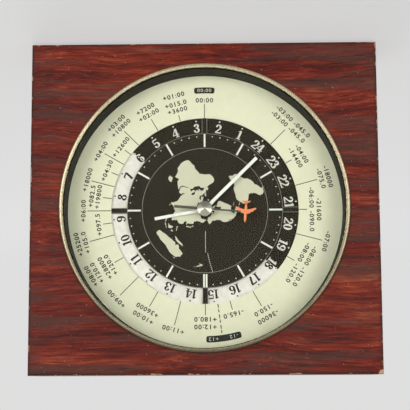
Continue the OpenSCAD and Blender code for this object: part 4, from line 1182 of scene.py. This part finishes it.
def pictured(web):
    """1 for a ray from the camera, off metal or through glass, 0 for lighting."""
    rays = web.node("LightPath").outputs
    turned = web.maths("MAXIMUM", rays["Is Glossy Ray"], rays["Is Transmission Ray"])
    return web.maths("MAXIMUM", rays["Is Camera Ray"], turned)


sky = Web(world.node_tree)
sky.tree.nodes.clear()
seen = tone_of(sky, "Background", PALE)
quiet = tone_of(sky, "Background", (0.80, 0.80, 0.80), 0.33)
end = sky.node("OutputWorld")
sky.feed(end.inputs["Surface"], choose(sky, pictured(sky), quiet, seen))
print("world", PALE)

# %% [markdown]
# The floor is a pale sheet. A low camera sees it at a slant, where soft lamps
# light it poorly, so where it is seen part of its tone is its own light, and
# the rest is lit and keeps the clock's shadow. Further away it fades into the
# tone of the world, which leaves no horizon. Two of the lamps reach below the
# floor, so it throws no shadow itself. Metal mirrors the world in its place.
# A ray that has bounced off the clock sees it as plain lit paper, so its own
# light adds none to the dial.

# %% The floor
FLOOR_HALF = 14.0
FADE_FROM, FADE_TO = 0.35, 1.2
sheet = bmesh.new()
bmesh.ops.create_grid(sheet, x_segments=1, y_segments=1, size=FLOOR_HALF)
floor = as_piece("floor", sheet)
paper = Finish("pale_paper", colour=PALE, roughness=0.85, Specular_IOR_Level=0.1)
paper.wear(0.01, 0.8, 0.9)
near = paper.node("AddShader")
paper.feed(near.inputs[0], tone_of(paper, "Emission", (0.545, 0.545, 0.544)))
paper.feed(near.inputs[1], tone_of(paper, "BsdfDiffuse", (0.40, 0.40, 0.399)))
reach = paper.node("VectorMath", operation="LENGTH")
paper.feed(reach.inputs[0], paper.place)
distant = paper.step(reach.outputs["Value"], FADE_FROM, FADE_TO)
fading = choose(paper, distant, near.outputs[0], tone_of(paper, "Emission", PALE))
path = paper.node("LightPath").outputs
bounces = paper.maths("ADD", path["Diffuse Depth"], path["Glossy Depth"])
looked_at = paper.maths("MULTIPLY", pictured(paper), paper.maths("LESS_THAN", bounces, 0.5))
shown = choose(paper, looked_at, paper.skin.outputs[0], fading)
paper.feed(paper.tree.nodes["Material Output"].inputs["Surface"], shown)
floor.data.materials.append(paper.mat)
floor.visible_shadow = False
floor.visible_glossy = False
print("floor fades from", FADE_FROM, "to", FADE_TO, "m")

# %% [markdown]
# The light is soft and comes from both sides of the camera, far off and low, so
# that the wall round the dial throws only a narrow shadow. The photograph was
# taken with the clock upside down, and its stronger light is at its left, which
# is the right of the clock as it stands. A third lamp stands behind, for the
# back.

# %% Lamps
LAMP_WIDTH = 1.0
LIT_POINT = Vector((0, 0, 0.08))


def lamp(name, where, power):
    light = bpy.data.lights.new(name, "AREA")
    light.shape = "DISK"
    light.size = LAMP_WIDTH
    light.energy = power
    holder = bpy.data.objects.new(name, light)
    holder.location = where
    holder.rotation_euler = (LIT_POINT - Vector(where)).to_track_quat("-Z", "Y").to_euler()
    scene.collection.objects.link(holder)


lamp("key", (0.95, -2.10, -0.12), 16.0)
lamp("fill", (-0.95, -2.10, -0.06), 13.2)
lamp("back", (0.3, 1.4, 1.2), 8.0)
print("three lamps")

# %% [markdown]
# The photograph shows the clock upside down: its twelve is at the foot of the
# picture. The clock stands the right way up here, and the camera is rolled by
# half a turn instead. Its place, lens and roll were fitted to the four corners
# of the case, the ellipse of the bezel and the window behind it. The eye and
# the point it looks at are given in metres from the middle of the front.

# %% Camera
FOCAL_PIXELS = 1233.7
IMAGE_WIDTH = 410
FRONT = Vector((0, CASE_LOW.y, CENTRE.z))
EYE = FRONT + Vector((-0.01032, -0.57525, 0.08153))
LOOKED_AT = FRONT + Vector((-0.00030, 0, -0.00039))
ROLL = math.radians(179.70)
camera = bpy.data.cameras.new("camera")
camera.sensor_width = 36
camera.lens = camera.sensor_width * FOCAL_PIXELS / IMAGE_WIDTH
camera.clip_start = 0.01
camera.clip_end = 30
viewer = bpy.data.objects.new("camera", camera)
scene.collection.objects.link(viewer)
scene.camera = viewer
look = (LOOKED_AT - EYE).to_track_quat("-Z", "Y").to_matrix().to_4x4()
viewer.matrix_world = Matrix.Translation(EYE) @ look @ Matrix.Rotation(ROLL, 4, "Z")
print("camera at", [round(v, 4) for v in EYE], "lens", round(camera.lens, 1))
